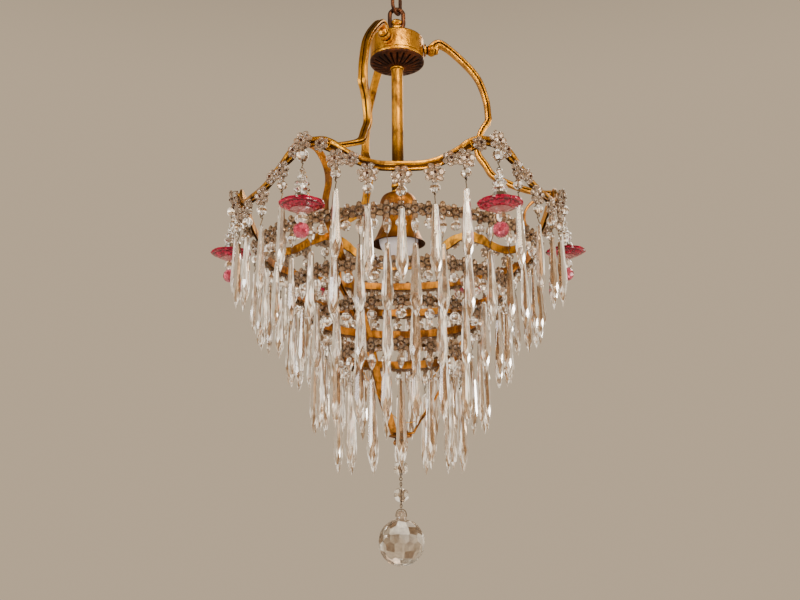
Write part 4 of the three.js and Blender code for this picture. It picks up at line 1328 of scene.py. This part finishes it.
@dataclass
class Pendants:
    """Six pendants: a ringed clear spire, a raspberry saucer, a clear bead and a pink ball on one pin."""

    wire: float = 0.009
    spire: float = 0.034
    saucer: float = 0.023
    saucer_depth: float = 0.0115
    bead: float = 0.0068
    bead_cut: float = 0.0125
    bead_length: float = 0.013
    ball: float = 0.0077

    @property
    def saucer_top(self) -> float:
        """Height of the saucer's upper side, which the spire stands on."""
        return -self.wire - self.spire

    @property
    def saucer_foot(self) -> float:
        """Height of the saucer's lower side, below which the bead hangs."""
        return self.saucer_top - self.saucer_depth

    @property
    def ball_middle(self) -> float:
        """Height of the middle of the pink ball, which runs a little up into the bead."""
        return self.saucer_foot - self.bead_length - 0.0056

    def build(self, finishes: Finishes) -> None:
        """Makes the pieces of each pendant.

        Args:
            finishes: the finishes to choose from.
        """
        rng = np.random.default_rng(5)
        bead = faceted_bead(self.bead, self.bead_cut).moved(at(0, 0, self.saucer_foot - self.bead_length / 2))
        ball = cut_ball(self.ball, 7, 10).moved(at(0, 0, self.ball_middle))
        kinds = (
            ("saucer", self._saucer(), finishes.pink, "pink_glass", Shading.CUT),
            ("cone", self._cone(), finishes.blush, "pink_glass", Shading.TURNED),
            ("spire", self._spire(), finishes.clear, "clear_glass", Shading.CUT),
            ("bead", bead, finishes.clear, "clear_glass", Shading.CUT),
            ("ball", ball, finishes.pale_pink, "pink_glass", Shading.CUT),
            ("pin", self._pin(), finishes.wire, "wire", Shading.TURNED),
        )
        for i, azimuth in enumerate(even_angles(PLACES.peaks), 1):
            body = f"pendant_{i}"
            z = PLACES.pendant_hook(azimuth)
            hang = about_axis(PLACES.pendant_radius, [azimuth], z, 0.0, rng.uniform(0, 0.8))[0]
            for kind, surface, finish, slot, shading in kinds:
                nodes = (body,) if kind == "saucer" else ()
                build(f"{body}_{kind}", surface.moved(hang), finish, body, nodes, shading)

    def _spire(self) -> Surface:
        """A turned spire: a small bead, a neck with a rim, two rings and a skirt in the saucer.

        Returns:
            The spire.
        """
        share = np.array([(0.0006, 0.0), (0.0026, 0.015), (0.0038, 0.07), (0.0037, 0.11), (0.0025, 0.16),
                          (0.0024, 0.20), (0.0050, 0.24), (0.0052, 0.27), (0.0036, 0.31), (0.0042, 0.37),
                          (0.0072, 0.42), (0.0077, 0.47), (0.0058, 0.51), (0.0060, 0.54), (0.0080, 0.59),
                          (0.0083, 0.65), (0.0064, 0.70), (0.0068, 0.76), (0.0086, 0.86), (0.0100, 0.96),
                          (0.0102, 1.0), (0.0006, 1.0)])
        return lathe(share * (1, -self.spire) + (0, -self.wire), 14)

    def _scallop(self, angle: np.ndarray, height: np.ndarray) -> np.ndarray:
        """Eight scallops and fine flutes round the saucer's rim, fading towards its middle.

        Args:
            angle: angles round the pendant's axis.
            height: heights of the profile's rows.

        Returns:
            The factor on each point's radius.
        """
        near = np.exp(-((height - self.saucer_top + 0.3 * self.saucer_depth) / 0.0028) ** 2)
        scallops, flutes = 1 - np.abs(np.cos(4 * angle)) ** 0.8, 1 - np.cos(24 * angle)
        return 1.02 - near * (0.07 * scallops + 0.012 * flutes)

    def _saucer(self) -> Surface:
        """The saucer: a shallow dish with a thick scalloped rim, down to its step.

        Returns:
            The saucer.
        """
        hole = 0.0012 / self.saucer
        share = np.array([(hole, -0.02), (0.44, -0.02), (0.62, -0.09), (0.86, -0.10), (0.96, -0.12), (1, -0.26),
                          (0.985, -0.34), (0.92, -0.38), (0.84, -0.40), (0.76, -0.54), (0.64, -0.66),
                          (0.52, -0.72), (hole, -0.70)])
        profile = share[::-1] * (self.saucer, self.saucer_depth) + (0, self.saucer_top)
        return lathe(profile, 48, self._scallop)

    def _cone(self) -> Surface:
        """The paler cone under the saucer's middle.

        Returns:
            The cone.
        """
        share = np.array([(0.0012, 0), (0.0112, 0), (0.0116, -0.12), (0.0098, -0.34), (0.0080, -0.62),
                          (0.0048, -0.9), (0.0012, -1)])
        top = self.saucer_top - 0.72 * self.saucer_depth
        return lathe(share[::-1] * (1, 0.36 * self.saucer_depth) + (0, top), 32)

    def _pin(self) -> Surface:
        """The wire loop above the spire, and the pin's end below the ball.

        Returns:
            The loop and the pin's end.
        """
        foot = self.ball_middle - self.ball - 0.0001
        loop = hook(self.wire + 0.002, 0.0016, 0.0005)
        end = lathe([(0, foot), (0.0011, foot + 0.0002), (0.0011, foot + 0.0009), (0, foot + 0.001)], 10)
        return together([loop, end])


@dataclass
class Tier:
    """A lower hoop with its row of rosettes, and a drop and a spear prism wired below each."""

    name: str
    radius: float
    z: float
    strands: int
    prism: float
    height: float = 0.009
    thickness: float = 0.002
    rosette: float = 0.0102
    rosette_drop: float = 0.0015
    glass_drop: float = 0.009
    drop_radius: float = 0.0046
    drop_length: float = 0.018
    drop_hook: float = 0.009
    proud: float = 0.00252
    bead: float = 0.0055
    bead_length: float = 0.0098
    bead_drop: float = 0.0042
    prism_width: float = 0.0126
    prism_depth: float = 0.0092
    prism_top: float = 0.0060

    def flats(self, out: float) -> float:
        """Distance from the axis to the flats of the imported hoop, at a distance outside its centre line."""
        sides = 2 * self.strands if self.strands < 20 else self.strands
        return (self.radius + out) * math.cos(math.pi / sides)

    def build(self, finishes: Finishes) -> None:
        """Makes the hoop, then its glass and wire.

        Args:
            finishes: the finishes to choose from.
        """
        rng = np.random.default_rng(self.strands)
        reach = self.flats(self.thickness / 2) + self.proud
        double = even_angles(2 * self.strands)
        rosette_z = self.z - self.rosette_drop
        tilt, spin = rng.normal(0, 0.10, (2, len(double)))
        row = about_axis(reach + np.tile([0.0, 0.0014], self.strands), double, rosette_z, tilt, spin)
        beads = about_axis(reach + 0.001, double[::2], rosette_z - self.rosette - self.bead_drop)
        turn = rng.normal(0, 0.25, self.strands)
        top = self.z - self.glass_drop
        low = top - self.drop_length - self.drop_hook

        def strands(height: float) -> np.ndarray:
            """Places for one piece of each strand, at a height."""
            return about_axis(reach, double[1::2], height, 0.0, turn)

        pin = lathe([(0, 0.0022), (0.0010, 0.0023), (0.0012, 0.0032), (0, 0.0040)], 6)
        bead = faceted_bead(self.bead, self.bead_length)
        prism = spear(self.prism, self.prism_width, self.prism_depth, self.prism_top)
        hooks = together([hook(0.0128, 0.0016).repeated(strands(low + 0.0102)),
                          hook(0.005, 0.0012).repeated(strands(top + 0.0022))])
        kinds = (
            ("band", self._band(), finishes.brown_gilt, "gilt", Shading.TURNED),
            ("rosettes", flower(self.rosette, 6, 0.003, 4, 6).repeated(row), finishes.smoky,
             "rosette_glass", Shading.TURNED),
            ("pins", pin.moved(LAID).repeated(row), finishes.dark_gilt, "wire", Shading.TURNED),
            ("beads", bead.repeated(beads), finishes.clear, "clear_glass", Shading.CUT),
            ("drops", self._drop().repeated(strands(top - self.drop_length / 2)), finishes.clear,
             "clear_glass", Shading.CUT),
            ("prisms", prism.repeated(strands(low)), finishes.clear, "clear_glass", Shading.CUT),
            ("hooks", hooks, finishes.wire, "wire", Shading.TURNED),
        )
        for kind, surface, finish, slot, shading in kinds:
            nodes = (self.name,) if kind == "band" else ()
            build(f"{self.name}_{kind}", surface, finish, "frame", nodes, shading)

    def _band(self) -> Surface:
        """The hoop: a thin band with a rolled edge above and below.

        Returns:
            The band.
        """
        r, h, t = self.radius, self.height / 2, self.thickness / 2
        profile = np.array([(-t, -h + 0.0004), (-0.2 * t, -h), (t, -h + 0.0003), (1.25 * t, -h + 0.0011),
                            (0.7 * t, -h + 0.0019), (0.5 * t, 0), (0.7 * t, h - 0.0019), (1.25 * t, h - 0.0011),
                            (t, h - 0.0003), (-0.2 * t, h), (-t, h - 0.0004), (-t, -h + 0.0004)])
        return lathe(profile + (r, self.z), 180)

    def _drop(self) -> Surface:
        """A six-sided drop: a short crown and a long tapering pavilion.

        Returns:
            The drop, about its middle.
        """
        r, half = self.drop_radius, self.drop_length / 2
        share = np.array([(0.08, -1), (0.55, -0.62), (0.95, -0.05), (1, 0.25), (0.62, 0.72), (0.15, 1)])
        return lathe(share * (r, half), 6)


@dataclass
class Basket:
    """The ribs that carry the lower hoops, the knob that they meet in, and a loose wire between them."""

    ribs: int = 3
    width: float = 0.008
    thickness: float = 0.0026

    def build(self, finishes: Finishes) -> None:
        """Makes the ribs, the bottom finial and the loose wire.

        Args:
            finishes: the finishes to choose from.
        """
        rib = self._rib()
        for i, place in enumerate(about_axis(0.0, even_angles(self.ribs), 0.0), 1):
            build(f"rib_{i}_cast", rib.moved(place), finishes.brown_gilt, "frame", (f"rib_{i}",))
        build("bottom_finial_turned", self._finial(), finishes.brown_gilt, "frame", ("bottom_finial",))
        build("loose_wire", self._loose_wire(), finishes.gilt, "frame")

    def _rib(self) -> Surface:
        """A flat bar, bevelled outside and grooved inside, from the crown hoop down to the hub.

        Returns:
            The rib over the X axis.
        """
        last, floor, inwards = TIERS[-1], PLACES.hub_z + 0.0016, PLACES.gap + 0.7 * self.thickness
        start = np.array([(0, 0), (-0.0139, -0.001), (-0.028, -0.0119), (-0.033, -0.028)])
        start += (PLACES.foot_radius, PLACES.peak_z - 0.0025)
        seats = [(tier.flats(-tier.thickness / 2) - inwards, tier.z + tier.height / 2) for tier in TIERS]
        bend = curve_through([*start, *seats, (last.radius * 0.62, last.z - 0.045),
                              (last.radius * 0.3, floor + 0.0108), (0.015, floor + 0.001)], 110)
        path = upright(np.vstack([bend, [(0.011, floor), (0.0065, floor)]]))
        section = np.array([(-0.5, -0.3), (-0.42, -0.5), (0.42, -0.5), (0.5, -0.3), (0.5, 0.2), (0.3, 0.5),
                            (0, 0.36), (-0.3, 0.5), (-0.5, 0.2)])
        return sweep(path, Y_AXIS, section, scale=np.tile([self.width, self.thickness], (len(path), 1)))

    def _loose_wire(self) -> Surface:
        """A slack gilt wire that hangs in a loop from two places on the lowest hoop.

        Returns:
            The wire.
        """
        last = TIERS[-1]
        inside, high = last.radius - last.thickness / 2 - 0.0006, last.z - last.height / 2
        plane, reach = -0.66 * inside, 0.751 * inside
        knots = np.array([(-reach, 0.002), (-reach * 0.78, -0.024), (-0.024, -0.048), (-0.011, -0.066),
                          (0.002, -0.075), (0.016, -0.0745), (0.0275, -0.061), (0.032, -0.036),
                          (reach * 0.86, -0.015), (reach, 0.002)])
        return wire_along(curve_through(knots + (0, high), 60), 0.0005, 6, plane)

    def _finial(self) -> Surface:
        """The hub's plate and head with the turned knob below, gadrooned round its middle.

        Returns:
            The finial.
        """
        profile = np.array([
            (0, 0.0062), (0.0035, 0.0060), (0.0068, 0.0052), (0.0088, 0.0042), (0.009, 0.0032), (0.003, 0.0032),
            (0.003, 0), (0.0115, 0), (0.013, -0.0007), (0.0128, -0.0022), (0.0105, -0.003), (0.0066, -0.0037),
            (0.0058, -0.0046), (0.0072, -0.006), (0.0082, -0.0082), (0.0078, -0.0104), (0.0054, -0.0124),
            (0.0034, -0.0142), (0.0032, -0.0152), (0.0046, -0.0166), (0.0051, -0.0182), (0.0040, -0.0196),
            (0.0016, -0.0208), (0.0010, -0.0216), (0, PLACES.finial_tip - PLACES.hub_z)])
        return lathe(profile[::-1] + (0, PLACES.hub_z), 72, self._gadroons)

    def _gadroons(self, angle: np.ndarray, height: np.ndarray) -> np.ndarray:
        """Twelve gadroons round the knob's belly."""
        belly = (height < PLACES.hub_z - 0.005) & (height > PLACES.hub_z - 0.0125)
        return 1 - 0.09 * (1 - np.abs(np.cos(6 * angle))) * belly


@dataclass
class DropChain:
    """Two cut beads and the crystal ball, each joined to the next by wire loops."""

    bead: float = 0.0078
    loop: float = 0.0065
    ball: float = 0.025
    neck: float = 0.006
    neck_length: float = 0.009
    ball_wire: float = 0.0025
    eye: float = 0.0019
    eye_drop: float = 0.0007

    def build(self, finishes: Finishes) -> None:
        """Makes the beads, the ball and their wires.

        Args:
            finishes: the finishes to choose from.
        """
        span = 2 * (self.bead + self.loop)
        z = PLACES.finial_tip - PLACES.gap
        for number, name in enumerate(("upper_bead", "lower_bead")):
            cut = cut_ball(self.bead, 6, 8).moved(at(0, 0, z - span / 2))
            wire = self._eyes(span).moved(about_axis(0, [0.7 + 1.4 * number], z)[0])
            build(f"{name}_cut", cut, finishes.ball, name, (name,), Shading.CUT)
            build(f"{name}_wire", wire, finishes.wire, name)
            z -= span + PLACES.gap
        neck_foot = z - self.ball_wire - self.neck_length
        centre = neck_foot - math.sqrt(self.ball ** 2 - self.neck ** 2)
        ball = cut_ball(self.ball * 0.99, 9, 15).moved(at(0, 0, centre))
        build("crystal_ball_cut", ball, finishes.ball, "crystal_ball", ("crystal_ball",),
              Shading.CUT)
        r, foot = self.neck, neck_foot - 0.0004
        stub = lathe([(0.0004, foot), (r, foot), (r * 0.94, foot + 0.002), (r * 0.84, foot + 0.005),
                      (r * 0.70, foot + 0.0078), (r * 0.44, foot + 0.0092), (0.0004, foot + 0.0095)], 24)
        build("crystal_ball_neck", stub, finishes.clear, "crystal_ball")
        build("crystal_ball_stirrup", self._stirrup(z, foot), finishes.wire, "crystal_ball")

    def _eyes(self, span: float) -> Surface:
        """A wire loop above and below a bead, and the pin through it.

        Args:
            span: from the upper eye's top to the lower eye's foot.

        Returns:
            The loops and the pin.
        """
        radius, clear = self.eye, self.eye_drop
        eye = sweep(upright(ring_of(20, radius)), Y_AXIS, ring_of(7, 0.0005), closed=True)
        pin = lathe([(0, -span + 2 * radius), (0.0006, -span + 2 * radius), (0.0006, -2 * radius),
                     (0, -2 * radius)], 8)
        return together([eye.moved(at(0, 0, -radius - clear)), eye.moved(at(0, 0, -span + radius + clear)), pin])

    def _stirrup(self, top: float, foot: float) -> Surface:
        """A bent wire that clasps the neck from both sides, and the loop above it.

        Args:
            top: height that the ball hangs from.
            foot: height of the neck's foot.

        Returns:
            The wire with its loop.
        """
        r = self.neck
        arch = curve_through([(-r * 0.98, foot + 0.0032), (-r * 0.93, foot + 0.0065), (-r * 0.66, foot + 0.0098),
                              (0, foot + 0.0114), (r * 0.66, foot + 0.0098), (r * 0.93, foot + 0.0065),
                              (r * 0.98, foot + 0.0032)], 30)
        eye = np.insert(ring_of(16) * (0.0011, 0.0010) + (0, top - 0.0016), 0, 0.0, axis=1)
        return together([wire_along(arch, 0.00045, 7), sweep(eye, X_AXIS, ring_of(6, 0.0004), closed=True)])


TIERS = [
    Tier("tier_2", 0.157, -0.34395, 36, 0.076),
    Tier("tier_3", 0.122, -0.38795, 28, 0.076),
    Tier("tier_4", 0.095, -0.42195, 20, 0.096),
    Tier("tier_5", 0.068, -0.46495, 14, 0.096),
]


# Studio


@dataclass
class Studio:
    """A pale floor far below, soft lights and the camera at the photograph's viewing angle."""

    floor: float = -2.3
    half: float = 8.0
    lens: float = 40.5
    distance: float = 1.012
    side: float = 0.0009
    heading: float = math.radians(-1)
    height: float = -0.6427
    pitch: float = math.radians(13.48)
    roll: float = math.radians(-0.55)
    pale: Colour = (0.90, 0.86, 0.80)
    air: Colour = (0.58, 0.45, 0.31)
    dusk: Colour = (0.03, 0.026, 0.022)
    dusk_from: float = 0.42
    dusk_to: float = 0.85

    def build(self) -> None:
        """Sets the floor, the world, the lights and the camera."""
        self._floor()
        self._world()
        self._light("key", (0.6, -1.9, 0.8), 0.8, 40, (1.0, 0.84, 0.62))
        self._light("fill", (-1.6, -1.3, -0.1), 0.7, 18, (0.97, 0.97, 1.0))
        self._light("back", (0.8, 1.6, 0.7), 0.9, 12, (1.0, 0.93, 0.84))
        self._light("side", (1.8, -0.3, -0.4), 0.6, 12, (1.0, 0.95, 0.88))
        self._light("low", (-0.4, -1.0, -1.7), 0.6, 10, (1.0, 0.93, 0.84))
        self._light("wash", (0.0, 0.0, self.floor + 0.3), 2 * self.half, 290, (1.0, 0.92, 0.80),
                    (0.0, 0.0, self.floor))
        self._camera()

    def _floor(self) -> None:
        """A large plain floor."""
        mesh = bpy.data.meshes.new("floor")
        corners = ring_of(4, self.half * math.sqrt(2), TAU / 8)
        mesh.from_pydata([(x, y, self.floor) for x, y in corners.tolist()], [], [(0, 1, 2, 3)])
        paint = Paint("studio_floor")
        paint.set(Base_Color=self.pale, Roughness=0.9)
        mesh.materials.append(paint.material)
        plane = bpy.data.objects.new("floor", mesh)
        bpy.context.scene.collection.objects.link(plane)

    def _world(self) -> None:
        """The pale air round the chandelier, dim overhead."""
        world = bpy.data.worlds.new("studio")
        world.use_nodes = True
        back = world.node_tree.nodes["Background"]
        sky = Nodes(world.node_tree)
        way = sky.node("ShaderNodeTexCoord", {}, {}, "Generated")
        height = sky.node("ShaderNodeSeparateXYZ", {}, {"Vector": way}, "Z")
        share = sky.window(height, self.dusk_from, self.dusk_to)
        sky.feed(back.inputs["Color"], sky.mix(share, self.air, self.dusk))
        bpy.context.scene.world = world

    def _light(self, name: str, where: tuple[float, float, float], size: float, power: float,
               colour: Colour, target: tuple[float, float, float] = (0.0, 0.0, -0.35)) -> None:
        """A square light that faces the chandelier's middle, or the floor.

        Args:
            name: the light's name.
            where: its place.
            size: the square's side.
            power: its power in watts.
            colour: its colour.
            target: what it faces.
        """
        data = bpy.data.lights.new(name, "AREA")
        data.size, data.energy, data.color = size, power, colour
        lamp = bpy.data.objects.new(name, data)
        aim = Vector(target) - Vector(where)
        lamp.matrix_world = Matrix.Translation(where) @ aim.to_track_quat("-Z", "Y").to_matrix().to_4x4()
        bpy.context.scene.collection.objects.link(lamp)

    def _camera(self) -> None:
        """The camera, with the photograph's lens, tilt and roll."""
        data = bpy.data.cameras.new("portrait")
        data.lens = self.lens
        data.sensor_width = 36.0
        data.clip_start = 0.01
        camera = bpy.data.objects.new("portrait", data)
        tilt = Matrix.Rotation(math.pi / 2 + self.pitch, 4, "X") @ Matrix.Rotation(self.roll, 4, "Z")
        stand = Matrix.Rotation(self.heading, 4, "Z") @ Matrix.Translation((self.side, -self.distance, self.height))
        camera.matrix_world = stand @ tilt
        bpy.context.scene.collection.objects.link(camera)
        bpy.context.scene.camera = camera


def main() -> None:
    """Builds the sub-assemblies from the top down and sets the studio."""
    logging.basicConfig(level=logging.INFO, format="%(message)s")
    finishes = Finishes()
    Studio().build()
    for assembly in (HangingParts(), Cap(), Lamp(), Arms(), CrownHoop(), CrownPrisms(), Pendants(), *TIERS,
                     Basket(), DropChain()):
        assembly.build(finishes)


if __name__ == "__main__":
    main()
